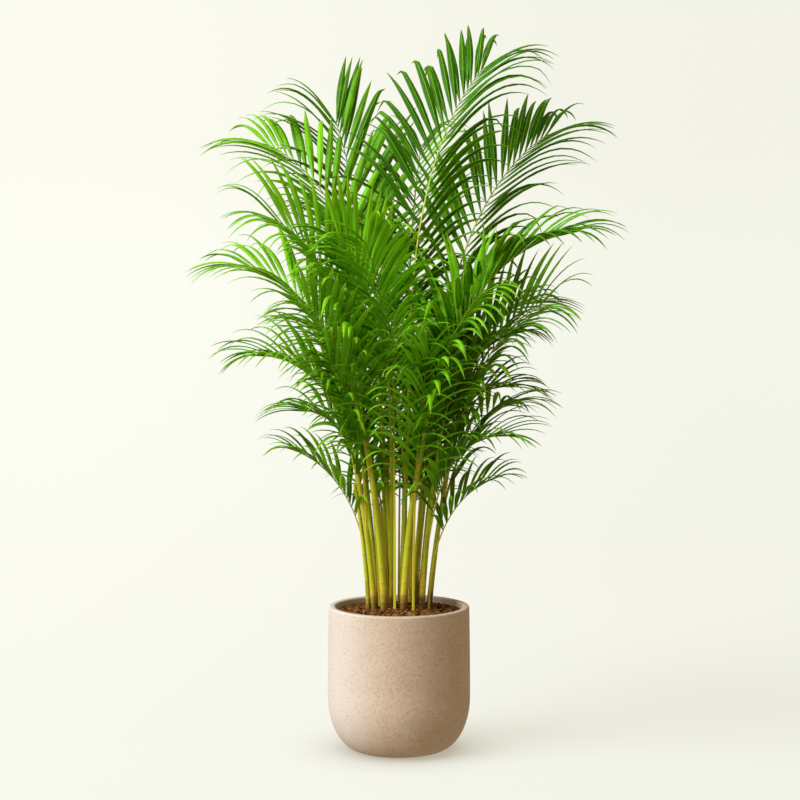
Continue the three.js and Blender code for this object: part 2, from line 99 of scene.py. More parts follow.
def cell_noise(x: Array, y: Array, size: float, seed: int) -> Array:
    """Smooth random hills from -1 to 1, one to a square cell.

    Each corner of the cell grid has a random height, and a point takes its cell's four heights
    mixed by the S-curve of its place in the cell.

    Args:
        x, y: places.
        size: the cells' side.
        seed: picks the random heights.

    Returns:
        A height for each place.
    """
    cells = 256
    table = np.random.default_rng(seed).uniform(-1, 1, (cells, cells))
    column, row = x / size, y / size
    left, low = np.floor(column).astype(int), np.floor(row).astype(int)
    across, up = eased(column - left, 0, 1), eased(row - low, 0, 1)
    corner = [[table[(left + i) % cells, (low + j) % cells] for i in (0, 1)] for j in (0, 1)]
    return mixed(mixed(*corner[0], across), mixed(*corner[1], across), up)


# ---- Skins: points and faces that become a piece ------------------------------------------------


@dataclass
class Skin:
    """Closed shells gathered into one mesh.

    Attributes:
        points: one array of places for each shell.
        faces: lists of point numbers, counterclockwise from outside.
        layers: for each named layer, one array of values for each shell.
        finishes: the material number of each face.
        sharp: pairs of point numbers whose edge is a crease.
        count: how many points there are so far.
    """

    points: list[Array] = field(default_factory=list)
    faces: list[list[int]] = field(default_factory=list)
    layers: dict[str, list[Array]] = field(default_factory=dict)
    finishes: list[int] = field(default_factory=list)
    sharp: list[Array] = field(default_factory=list)
    count: int = 0

    def add(
        self,
        points: Array,
        faces: Sequence[Array | list[list[int]]],
        finish: int = 0,
        sharp: Array | None = None,
        **layers: Array,
    ) -> None:
        """Adds a shell.

        Args:
            points: its places, of any shape that ends in 3.
            faces: arrays or lists of its faces' point numbers.
            finish: its material's number.
            sharp: pairs of point numbers whose edge is a crease.
            layers: values for its points, by the layer's name.
        """
        flat = points.reshape(-1, 3)
        for group in faces:
            rows = (np.asarray(group) + self.count).tolist()
            self.faces += rows
            self.finishes += [finish] * len(rows)
        if sharp is not None:
            self.sharp.append(sharp + self.count)
        for name, values in layers.items():
            self.layers.setdefault(name, []).append(np.asarray(values, float))
        self.points.append(flat)
        self.count += len(flat)

    def piece(self, name: str, materials: Sequence[bpy.types.Material]) -> bpy.types.Object:
        """Makes the mesh object, with smooth faces and the layers as attributes.

        Args:
            name: the object's name.
            materials: its materials, in the order of their numbers.

        Returns:
            The object, linked to the scene.
        """
        mesh = bpy.data.meshes.new(name)
        mesh.from_pydata(np.concatenate(self.points).tolist(), [], self.faces)
        mesh.polygons.foreach_set("material_index", self.finishes)
        mesh.polygons.foreach_set("use_smooth", np.ones(len(self.faces), bool))
        if self.sharp:
            self._crease(mesh)
        for layer, parts in self.layers.items():
            self._store(mesh, layer, np.concatenate(parts))
        for material in materials:
            mesh.materials.append(material)
        mesh.update()
        piece = bpy.data.objects.new(name, mesh)
        bpy.context.scene.collection.objects.link(piece)
        return piece

    def _crease(self, mesh: bpy.types.Mesh) -> None:
        """Marks the sharp edges.

        An edge's key is its lower point number times the count of points, plus its higher one.

        Args:
            mesh: the mesh to mark.
        """
        ends = np.empty(len(mesh.edges) * 2, np.int64)
        mesh.edges.foreach_get("vertices", ends)
        keys = np.sort(ends.reshape(-1, 2), axis=1) @ [self.count, 1]
        wanted = np.sort(np.concatenate(self.sharp), axis=1) @ [self.count, 1]
        crease = mesh.attributes.new("sharp_edge", "BOOLEAN", "EDGE")
        crease.data.foreach_set("value", np.isin(keys, wanted))

    def _store(self, mesh: bpy.types.Mesh, layer: str, values: Array) -> None:
        """Stores a layer: numbers and triples on the points, pairs as a UV map.

        Args:
            mesh: the mesh that takes it.
            layer: its name.
            values: a number, a pair or a triple for each point.
        """
        if values.ndim == 1:
            mesh.attributes.new(layer, "FLOAT", "POINT").data.foreach_set("value", values)
        elif values.shape[1] == 3:
            store = mesh.attributes.new(layer, "FLOAT_VECTOR", "POINT")
            store.data.foreach_set("vector", values.ravel())
        else:
            corners = np.empty(len(mesh.loops), np.int64)
            mesh.loops.foreach_get("vertex_index", corners)
            mesh.uv_layers.new(name=layer).data.foreach_set("uv", values[corners].ravel())


def fitted(piece: bpy.types.Object, node: str | None = None) -> bpy.types.Object:
    """Puts a piece on the body.

    Args:
        piece: the piece.
        node: the source's node that it stands for, or none for a piece of the scene's own.

    Returns:
        The piece.
    """
    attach(piece, BODY)
    if node is not None:
        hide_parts(node)
    return piece


def band_faces(rows: int, sides: int) -> Array:
    """Four-sided faces between rings of points that run counterclockwise about the way along.

    Args:
        rows: how many rings there are.
        sides: points in a ring.

    Returns:
        Four point numbers for each face.
    """
    i, j = np.meshgrid(np.arange(rows - 1), np.arange(sides), indexing="ij")
    near, far, k = i * sides, (i + 1) * sides, (j + 1) % sides
    return np.stack([near + j, near + k, far + k, far + j], axis=-1).reshape(-1, 4)


def tube_faces(rows: int, sides: int) -> list[Array | list[list[int]]]:
    """The faces of a tube of rings, closed by a cap at both ends."""
    near, far = np.arange(sides)[::-1], np.arange(sides) + (rows - 1) * sides
    return [band_faces(rows, sides), [near.tolist()], [far.tolist()]]


def turned_profile(radius: Array, height: Array, sides: int) -> tuple[Array, list[Array]]:
    """A profile turned about the Z axis, between one pole and another.

    The point at profile place i and turn a is (radius_i cos a, radius_i sin a, height_i), and
    the profile's first and last places are single points on the axis.

    Args:
        radius, height: the profile, from the pole where it starts to the pole where it ends.
        sides: points round the axis.

    Returns:
        The points and the faces, outwards if the profile runs up its outer face.
    """
    turn = np.linspace(0, 2 * np.pi, sides, endpoint=False)
    r, z = radius[1:-1, None], height[1:-1, None]
    rings = np.stack([r * np.cos(turn), r * np.sin(turn), z + 0 * turn], axis=-1)
    poles = np.array([[0, 0, height[0]], [0, 0, height[-1]]])
    count = rings.shape[0] * sides
    j = np.arange(sides)
    k = (j + 1) % sides
    start = np.stack([k, j, np.full(sides, count)], axis=-1)
    last = count - sides
    end = np.stack([last + j, last + k, np.full(sides, count + 1)], axis=-1)
    points = np.concatenate([rings.reshape(-1, 3), poles])
    return points, [band_faces(rings.shape[0], sides), start, end]


# ---- Finishes -----------------------------------------------------------------------------------

# Colours are linear. A relief is the depth of the bumps in metres, a share goes from 0 to 1, and
# a drift is how far a noise moves a value.


@dataclass(frozen=True)
class Grain:
    """A soft noise: its cells to a metre or to a chart's side, its detail, and its axes' factors."""

    scale: float
    detail: float = 2.0
    stretch: tuple[float, float, float] = (1.0, 1.0, 1.0)


@dataclass(frozen=True)
class Ramp:
    """Goes smoothly from start to end as a value goes from low to high."""

    low: float
    high: float
    start: float = 0.0
    end: float = 1.0


@dataclass(frozen=True)
class Veil:
    """A colour that is laid over another by a share, which follows a ramp."""

    colour: Colour
    ramp: Ramp


@dataclass(frozen=True)
class Speck:
    """Small spots of a colour.

    Attributes:
        colour: their colour.
        scale: cells to a metre, with a spot at the centre of some.
        size: a spot's radius over a cell's width.
        rare: the level that a soft noise must pass where spots are seen.
    """

    colour: Colour
    scale: float
    size: float
    rare: float


class Shader:
    """A material being put together out of nodes, round one Principled shader."""

    def __init__(self, name: str) -> None:
        """Starts a material.

        Args:
            name: the material's name.
        """
        self.material = bpy.data.materials.new(name)
        self.material.use_nodes = True
        self.tree = self.material.node_tree
        self.surface = self.tree.nodes["Principled BSDF"]
        self.place = self.tree.nodes.new("ShaderNodeTexCoord").outputs["Object"]

    def node(self, kind: str, inputs: dict[int | str, object], **settings: object) -> bpy.types.Node:
        """Adds a node.

        Args:
            kind: the node type, without its ShaderNode prefix.
            inputs: a value or another node's output for each named or numbered input.
            settings: the node's own properties.

        Returns:
            The new node.
        """
        made = self.tree.nodes.new("ShaderNode" + kind)
        for key, value in settings.items():
            setattr(made, key, value)
        for key, value in inputs.items():
            self.feed(made.inputs[key], value)
        return made

    def feed(self, socket: bpy.types.NodeSocket, value: object) -> None:
        """Links an output to a socket, or sets the socket to a value.

        Args:
            socket: the input socket.
            value: another node's output, a colour, a vector or a number.
        """
        if isinstance(value, bpy.types.NodeSocket):
            self.tree.links.new(value, socket)
        elif isinstance(value, tuple) and len(value) == 3 and len(socket.default_value) == 4:
            socket.default_value = (*value, 1.0)
        else:
            socket.default_value = value

    def layer(self, name: str, output: str = "Fac") -> bpy.types.NodeSocket:
        """A layer of the mesh, by its name."""
        return self.node("Attribute", {}, attribute_name=name).outputs[output]

    def noise(self, grain: Grain, at: bpy.types.NodeSocket | None = None) -> bpy.types.NodeSocket:
        """Soft noise from 0 to 1.

        Args:
            grain: its size, detail and stretch.
            at: the place it is read at, or none for the object's own places.

        Returns:
            The noise.
        """
        source = self.place if at is None else at
        spot = self.node("Mapping", {"Vector": source, "Scale": grain.stretch}).outputs[0]
        inputs = {"Vector": spot, "Scale": grain.scale, "Detail": grain.detail}
        return self.node("TexNoise", inputs).outputs["Fac"]

    def ramp(self, value: object, ramp: Ramp) -> bpy.types.NodeSocket:
        """The value taken through a ramp.

        Args:
            value: what the ramp follows.
            ramp: its levels.

        Returns:
            The ramp's height at the value.
        """
        inputs = {"Value": value, "From Min": ramp.low, "From Max": ramp.high}
        inputs |= {"To Min": ramp.start, "To Max": ramp.end}
        return self.node("MapRange", inputs, interpolation_type="SMOOTHSTEP").outputs[0]

    def maths(self, operation: str, *values: object) -> bpy.types.NodeSocket:
        """An arithmetic operation on one, two or three values."""
        return self.node("Math", dict(enumerate(values)), operation=operation).outputs[0]

    def drifted(self, value: object, noise: object, drift: float) -> bpy.types.NodeSocket:
        """The value with a noise added: value + drift (noise - 1/2)."""
        return self.maths("ADD", value, self.maths("MULTIPLY_ADD", noise, drift, -drift / 2))

    def blend(self, share: object, a: object, b: object, mode: str = "MIX") -> bpy.types.NodeSocket:
        """Colour a, with b laid over it by a share."""
        inputs = {0: share, 6: a, 7: b}
        return self.node("Mix", inputs, data_type="RGBA", blend_type=mode).outputs[2]

    def veil(self, base: object, value: object, veil: Veil) -> bpy.types.NodeSocket:
        """The base colour with a veil over it, whose ramp follows the value."""
        return self.blend(self.ramp(value, veil.ramp), base, veil.colour)

    def bumps(self, height: object, depth: float, strength: float = 1.0) -> None:
        """Raises the surface by a height from 0 to 1, times a depth in metres."""
        inputs = {"Height": height, "Distance": depth, "Strength": strength}
        self.feed(self.surface.inputs["Normal"], self.node("Bump", inputs).outputs[0])

    def finish(self, **inputs: object) -> bpy.types.Material:
        """Sets the shader's own inputs.

        Args:
            inputs: a value for each input, named with _ for a blank.

        Returns:
            The material.
        """
        for key, value in inputs.items():
            self.feed(self.surface.inputs[key.replace("_", " ")], value)
        return self.material


@dataclass(frozen=True)
class CementFinish:
    """Sandy cement: clouded beige, with grit, specks and small pits, and painted light that makes
    its left side, where the key light falls, paler.
    """

    warm: Colour = (0.49, 0.370, 0.278)
    clouds: Grain = Grain(24, 5)
    pale: Veil = Veil((0.53, 0.412, 0.316), Ramp(0.3, 0.72))
    mottle: Grain = Grain(170, 6)
    umber: Veil = Veil((0.41, 0.295, 0.208), Ramp(0.42, 0.72, 0.0, 0.8))
    # Painted light: a paler colour laid over the left side, where the key light falls.
    painted_lit_side: Veil = Veil((0.54, 0.49, 0.475), Ramp(-0.15, -0.02, 0.8, 0.0))
    grit: Grain = Grain(900, 3)
    grit_tone: Ramp = Ramp(0.2, 0.8, 0.3, 1.0)
    grit_share: float = 0.5
    grit_height: float = 0.5
    dark_speck: Speck = Speck((0.22, 0.145, 0.09), 230, 0.30, 0.60)
    pale_speck: Speck = Speck((0.80, 0.70, 0.58), 170, 0.26, 0.64)
    pit_depth: float = 0.7
    relief: float = 0.0004
    relief_strength: float = 0.6
    roughness: float = 0.65
    shine: float = 0.5

    SPOT_CORE = 0.5
    SPOT_NOISE = 0.6
    SPOT_EDGE = 0.03

    def material(self) -> bpy.types.Material:
        """Builds the material, with a pit at each dark speck.

        Returns:
            The material.
        """
        shader = Shader("sandy_cement")
        base = shader.veil(self.warm, shader.noise(self.clouds), self.pale)
        base = shader.veil(base, shader.noise(self.mottle), self.umber)
        # Painted light: the left side, towards the key light, is made paler.
        across = shader.node("SeparateXYZ", {0: shader.place}).outputs[0]
        base = shader.veil(base, across, self.painted_lit_side)
        grit = shader.noise(self.grit)
        base = shader.blend(self.grit_share, base, shader.ramp(grit, self.grit_tone), "SOFT_LIGHT")
        dark = self._spots(shader, self.dark_speck)
        pale = self._spots(shader, self.pale_speck)
        base = shader.blend(dark, base, self.dark_speck.colour)
        base = shader.blend(pale, base, self.pale_speck.colour)
        pits = shader.maths("MULTIPLY", dark, -self.pit_depth)
        height = shader.maths("ADD", shader.maths("MULTIPLY", grit, self.grit_height), pits)
        shader.bumps(height, self.relief, self.relief_strength)
        return shader.finish(
            Base_Color=base, Roughness=self.roughness, Specular_IOR_Level=self.shine
        )

    def _spots(self, shader: Shader, speck: Speck) -> bpy.types.NodeSocket:
        """Small spots: near a cell's centre, and only where a soft noise is above a level.

        Args:
            shader: the material being built.
            speck: the spots' sizes.

        Returns:
            1 in a spot and 0 elsewhere.
        """
        inputs = {"Vector": shader.place, "Scale": speck.scale}
        away = shader.node("TexVoronoi", inputs).outputs["Distance"]
        spot = shader.ramp(away, Ramp(speck.size * self.SPOT_CORE, speck.size, 1.0, 0.0))
        soft = shader.noise(Grain(speck.scale * self.SPOT_NOISE, 1))
        there = shader.ramp(soft, Ramp(speck.rare - self.SPOT_EDGE, speck.rare + self.SPOT_EDGE))
        return shader.maths("MULTIPLY", spot, there)


@dataclass(frozen=True)
class SoilFinish:
    """Damp potting soil: dark brown crumbs with reddish bark."""

    dark: Colour = (0.022, 0.008, 0.003)
    crumbs: Grain = Grain(110, 5)
    brown: Veil = Veil((0.21, 0.088, 0.022), Ramp(0.42, 0.60))
    chips: Grain = Grain(330, 2)
    bark: Veil = Veil((0.42, 0.21, 0.075), Ramp(0.56, 0.68))
    grit: Grain = Grain(700, 4)
    relief: float = 0.0012
    roughness: float = 0.95
    shine: float = 0.1

    def material(self) -> bpy.types.Material:
        """Builds the material.

        Returns:
            The material.
        """
        shader = Shader("potting_soil")
        base = shader.veil(self.dark, shader.noise(self.crumbs), self.brown)
        base = shader.veil(base, shader.noise(self.chips), self.bark)
        shader.bumps(shader.noise(self.grit), self.relief)
        return shader.finish(
            Base_Color=base, Roughness=self.roughness, Specular_IOR_Level=self.shine
        )


@dataclass(frozen=True)
class CaneFinish:
    """A cane's waxy skin: brown at the foot, golden, then lime and straw towards the crown."""

    husk: Colour = (0.12, 0.048, 0.013)
    gold: Veil = Veil((0.57, 0.45, 0.030), Ramp(0.0, 0.35))
    lime: Veil = Veil((0.42, 0.46, 0.014), Ramp(0.3, 0.62))
    straw: Veil = Veil((0.58, 0.55, 0.025), Ramp(0.7, 1.0))
    clouds: Grain = Grain(45, 3, (1.0, 1.0, 0.4))
    cloud_drift: float = 0.5
    streaks: Grain = Grain(420, 3, (1.0, 1.0, 0.05))
    green: Veil = Veil((0.22, 0.34, 0.011), Ramp(0.48, 0.70, 0.0, 0.5))
    stains: Grain = Grain(75, 3, (1.0, 1.0, 0.16))
    stain: Veil = Veil((0.20, 0.095, 0.018), Ramp(0.57, 0.72, 0.0, 0.6))
    scar: Colour = (0.30, 0.19, 0.06)
    scar_share: float = 0.35
    relief: float = 0.0003
    relief_strength: float = 0.5
    roughness: float = 0.34
    shine: float = 0.3

    def material(self) -> bpy.types.Material:
        """Builds the material from the cane's layers: age, scar and grain.

        Returns:
            The material.
        """
        shader = Shader("cane_skin")
        skin = shader.layer("grain", "Vector")
        streaks = shader.noise(self.streaks, skin)
        clouds = shader.noise(self.clouds, skin)
        age = shader.drifted(shader.layer("age"), clouds, self.cloud_drift)
        base = shader.veil(self.husk, age, self.gold)
        base = shader.veil(base, age, self.lime)
        base = shader.veil(base, age, self.straw)
        base = shader.veil(base, streaks, self.green)
        base = shader.veil(base, shader.noise(self.stains, skin), self.stain)
        scars = shader.maths("MULTIPLY", shader.layer("scar"), self.scar_share)
        base = shader.blend(scars, base, self.scar)
        shader.bumps(streaks, self.relief, self.relief_strength)
        return shader.finish(
            Base_Color=base, Roughness=self.roughness, Specular_IOR_Level=self.shine
        )


@dataclass(frozen=True)
class StalkFinish:
    """A frond's stalk: yellow where it leaves the cane, green among the leaflets."""

    yellow: Colour = (0.60, 0.54, 0.035)
    green: Veil = Veil((0.18, 0.34, 0.010), Ramp(0.3, 0.95))
    mottle: Grain = Grain(120, 3)
    mottle_drift: float = 0.4
    streaks: Grain = Grain(600, 2, (1.0, 1.0, 0.2))
    relief: float = 0.0002
    relief_strength: float = 0.5
    roughness: float = 0.45
    shine: float = 0.35

    def material(self) -> bpy.types.Material:
        """Builds the material from the frond's tint layer, which runs along the stalk.

        Returns:
            The material.
        """
        shader = Shader("frond_stalk")
        mottle = shader.noise(self.mottle)
        reach = shader.drifted(shader.layer("tint"), mottle, self.mottle_drift)
        base = shader.veil(self.yellow, reach, self.green)
        shader.bumps(shader.noise(self.streaks), self.relief, self.relief_strength)
        return shader.finish(
            Base_Color=base, Roughness=self.roughness, Specular_IOR_Level=self.shine
        )


@dataclass(frozen=True)
class BladeFinish:
    """A leaflet's blade: fine veins run its length beside a paler midrib."""

    deep: Colour = (0.010, 0.092, 0.001)
    light_green: Colour = (0.20, 0.60, 0.012)
    patches: Grain = Grain(30, 3)
    patch_tint: Ramp = Ramp(0.3, 0.7, -0.15, 0.15)
    veins: Grain = Grain(46, 2)
    vein_stretch: float = 0.05
    vein_share: Ramp = Ramp(0.4, 0.65, 0.0, 0.25)
    rib: Veil = Veil((0.24, 0.48, 0.008), Ramp(0.02, 0.07, 0.8, 0.0))
    relief: float = 0.0004
    relief_strength: float = 0.6
    roughness: float = 0.5
    shine: float = 0.10
    through: float = 0.45
    through_colour: Colour = (1.0, 1.0, 0.3)
    through_depth: float = 0.004

    def material(self) -> bpy.types.Material:
        """Builds the material from the blade's UV map (across, along) and its tint layer.

        Returns:
            The material.
        """
        shader = Shader("palm_blade")
        chart = shader.node("UVMap", {}, uv_map="blade").outputs[0]
        across, along = shader.node("SeparateXYZ", {0: chart}).outputs[:2]
        drawn_out = shader.maths("MULTIPLY", along, self.vein_stretch)
        line = shader.node("CombineXYZ", {0: across, 1: drawn_out}).outputs[0]
        veins = shader.noise(self.veins, line)
        patch = shader.ramp(shader.noise(self.patches), self.patch_tint)
        tint = shader.maths("ADD", shader.layer("tint"), patch)
        # The tint mixes dark and light green: its frond part is painted light and shade, and its
        # leaflet and patch parts are the blade's own tone.
        base = shader.blend(tint, self.deep, self.light_green)
        base = shader.blend(shader.ramp(veins, self.vein_share), base, self.light_green)
        off_rib = shader.maths("ABSOLUTE", shader.maths("SUBTRACT", across, 0.5))
        base = shader.veil(base, off_rib, self.rib)
        shader.bumps(veins, self.relief, self.relief_strength)
        return shader.finish(
            Base_Color=base,
            Roughness=self.roughness,
            Specular_IOR_Level=self.shine,
            Subsurface_Weight=self.through,
            Subsurface_Radius=self.through_colour,
            Subsurface_Scale=self.through_depth,
        )


@dataclass(frozen=True)
class PaperFinish:
    """The studio's pale paper, which glows: painted light, stronger on the wall than below and a
    little darker on the right, with a painted contact shadow near the planter's foot.
    """

    colour: Colour = (0.12, 0.124, 0.130)
    roughness: float = 0.9
    tone_and_painted_light: Colour = (1.0, 1.005, 0.892)
    # Painted light: the glow grows up the wall and fades to the right.
    painted_light_up: Ramp = Ramp(0.0, 1.6, 0.745, 0.81)
    painted_light_across: Ramp = Ramp(-1.6, 1.6, 1.02, 0.93)
    # Painted contact shadow near the planter's foot: its colour, reach, samples and fade.
    painted_contact_shadow: Colour = (0.60, 0.55, 0.44)
    painted_shadow_reach: float = 0.2
    painted_shadow_samples: int = 8
    painted_shadow_fade: Ramp = Ramp(0.2, 0.95)
    beyond: float = 0.96

    def material(self) -> bpy.types.Material:
        """Builds the material: matt paper that glows as painted light, more on the wall than below.

        Returns:
            The material.
        """
        shader = Shader("studio_paper")
        place = shader.node("SeparateXYZ", {0: shader.place}).outputs
        # Painted light: the glow is stronger up the wall and weaker to the right.
        up, across = shader.ramp(place[2], self.painted_light_up), shader.ramp(place[0], self.painted_light_across)
        strength = shader.maths("MULTIPLY", up, across)
        # Painted contact shadow: where the planter hides the paper, the glow is darker and warmer.
        reach = {"Distance": self.painted_shadow_reach}
        openness = shader.node("AmbientOcclusion", reach, samples=self.painted_shadow_samples).outputs["AO"]
        tone_and_painted_light = shader.blend(shader.ramp(openness, self.painted_shadow_fade), self.painted_contact_shadow, self.tone_and_painted_light)
        return shader.finish(
            Base_Color=self.colour,
            Roughness=self.roughness,
            Emission_Color=tone_and_painted_light,
            Emission_Strength=strength,
        )

    def surround(self) -> bpy.types.Material:
        """Builds the material of the room beyond the paper, as pale as the paper is when lit.

        Returns:
            The material.
        """
        shader = Shader("studio_surround")
        return shader.finish(
            Base_Color=(0.0, 0.0, 0.0), Emission_Color=self.tone_and_painted_light, Emission_Strength=self.beyond
        )


# ---- Planter and soil ---------------------------------------------------------------------------


@dataclass(frozen=True)
class Cup:
    """A cup whose rounded bottom is a quarter of an ellipse up to its heel.

    Attributes:
        foot, belly, rim: its radius at the bottom, at the heel and at the top.
        heel, height: how high its heel and its top are.
    """

    foot: float
    belly: float
    rim: float
    heel: float
    height: float

    def radius(self, z: Array) -> Array:
        """Radius at a height.

        Below the heel, foot + (belly - foot) sqrt(1 - (1 - z/heel)^2), and above it,
        belly - (belly - rim) ((z - heel) / (height - heel))^2.

        Args:
            z: heights above the cup's bottom.

        Returns:
            The radius at each height.
        """
        below = np.clip(1 - z / self.heel, 0, 1)
        above = np.clip((z - self.heel) / (self.height - self.heel), 0, None)
        rounded = self.foot + (self.belly - self.foot) * np.sqrt(1 - below**2)
        return np.where(z < self.heel, rounded, self.belly - (self.belly - self.rim) * above**2)


@dataclass
class Planter:
    """The cement planter, a thick-walled cup with a rounded rim and drains in its floor.

    Attributes:
        outside: its outer face.
        inside: its inner face, from the floor up.
        wall: how thick its wall and its floor are.
        lip: the radius of the rim's two roundings.
        drains: how many drain holes it has.
        drain_radius, drain_circle: a drain's radius, and how far it is from the middle.
        sides: points round the axis.
        finish: its material.
    """

    outside: Cup = Cup(0.084, 0.1505, 0.1485, 0.112, 0.305)
    inside: Cup = Cup(0.077, 0.1365, 0.1345, 0.098, 0.291)
    wall: float = 0.014
    lip: float = 0.004
    drains: int = 3
    drain_radius: float = 0.006
    drain_circle: float = 0.045
    sides: int = 256
    finish: CementFinish = CementFinish()

    BOTTOM_STEPS = 22
    WALL_STEPS = 16
    LIP_STEPS = 9
    FLOOR_SHARES = (0.0, 0.3, 0.6, 0.9)
    PIN_SIDES = 32
    PIN_REACH = 1.5

    def heights(self, low: float, heel: float, high: float) -> Array:
        """Heights from the bottom to the rim, close together where the bottom is rounded.

        Args:
            low, heel, high: the heights of the bottom, of the heel and of the top.

        Returns:
            The heights: low + (heel - low) (1 - cos a) up to the heel, then even steps.
        """
        turn = np.linspace(0, np.pi / 2, self.BOTTOM_STEPS)
        wall = np.linspace(heel, high, self.WALL_STEPS)[1:]
        return np.concatenate([low + (heel - low) * (1 - np.cos(turn)), wall])

    def profile(self) -> tuple[Array, Array]:
        """The planter's section, from the foot's centre up the outside, over the rim and down.

        Returns:
            The radius and the height of each place on it.
        """
        outer, inner, wall = self.outside, self.inside, self.wall
        top = outer.height - self.lip
        outer_z = self.heights(0.0, outer.heel, top)
        inner_z = self.heights(wall, outer.heel, top)[::-1]
        outer_r, inner_r = outer.radius(outer_z), inner.radius(inner_z - wall)
        turn = np.linspace(0, np.pi / 2, self.LIP_STEPS)
        round_r, round_z = self.lip * (1 - np.cos(turn)), self.lip * np.sin(turn)
        lip_r = [outer_r[-1] - round_r, (inner_r[0] + round_r)[::-1]]
        lip_z = [top + round_z, (top + round_z)[::-1]]
        floor = np.array(self.FLOOR_SHARES)
        radius = [floor * outer.foot, outer_r, *lip_r, inner_r[1:], floor[::-1] * inner.foot]
        height = [0 * floor, outer_z, *lip_z, inner_z[1:], 0 * floor + wall]
        return np.concatenate(radius), np.concatenate(height)

    def build(self) -> bpy.types.Object:
        """Makes the planter and bores its drains.

        Returns:
            The piece.
        """
        points, faces = turned_profile(*self.profile(), self.sides)
        skin = Skin()
        skin.add(points, faces)
        piece = skin.piece("cement_planter", [self.finish.material()])
        cutter = self._drain_pins()
        bore = piece.modifiers.new("drains", "BOOLEAN")
        bore.operation, bore.object, bore.solver = "DIFFERENCE", cutter, "EXACT"
        bpy.context.view_layer.update()
        bored = piece.evaluated_get(bpy.context.evaluated_depsgraph_get())
        mesh = bpy.data.meshes.new_from_object(bored)
        piece.modifiers.clear()
        piece.data = mesh
        bpy.data.objects.remove(cutter)
        return fitted(piece, "planter")

    def _drain_pins(self) -> bpy.types.Object:
        """Round pins through the floor, evenly spaced on the drains' circle.

        Returns:
            One object of all the pins.
        """
        pins = Skin()
        turn = np.linspace(0, 2 * np.pi, self.PIN_SIDES, endpoint=False)
        ring = self.drain_radius * np.stack([np.cos(turn), np.sin(turn), 0 * turn], axis=-1)
        rise = np.array([-self.PIN_REACH, self.PIN_REACH])[:, None, None] * self.wall * UP
        for place in np.linspace(0, 2 * np.pi, self.drains, endpoint=False):
            centre = self.drain_circle * np.array([math.cos(place), math.sin(place), 0])
            pins.add(centre + ring + rise, tube_faces(2, len(turn)))
        return pins.piece("drain_pins", [])


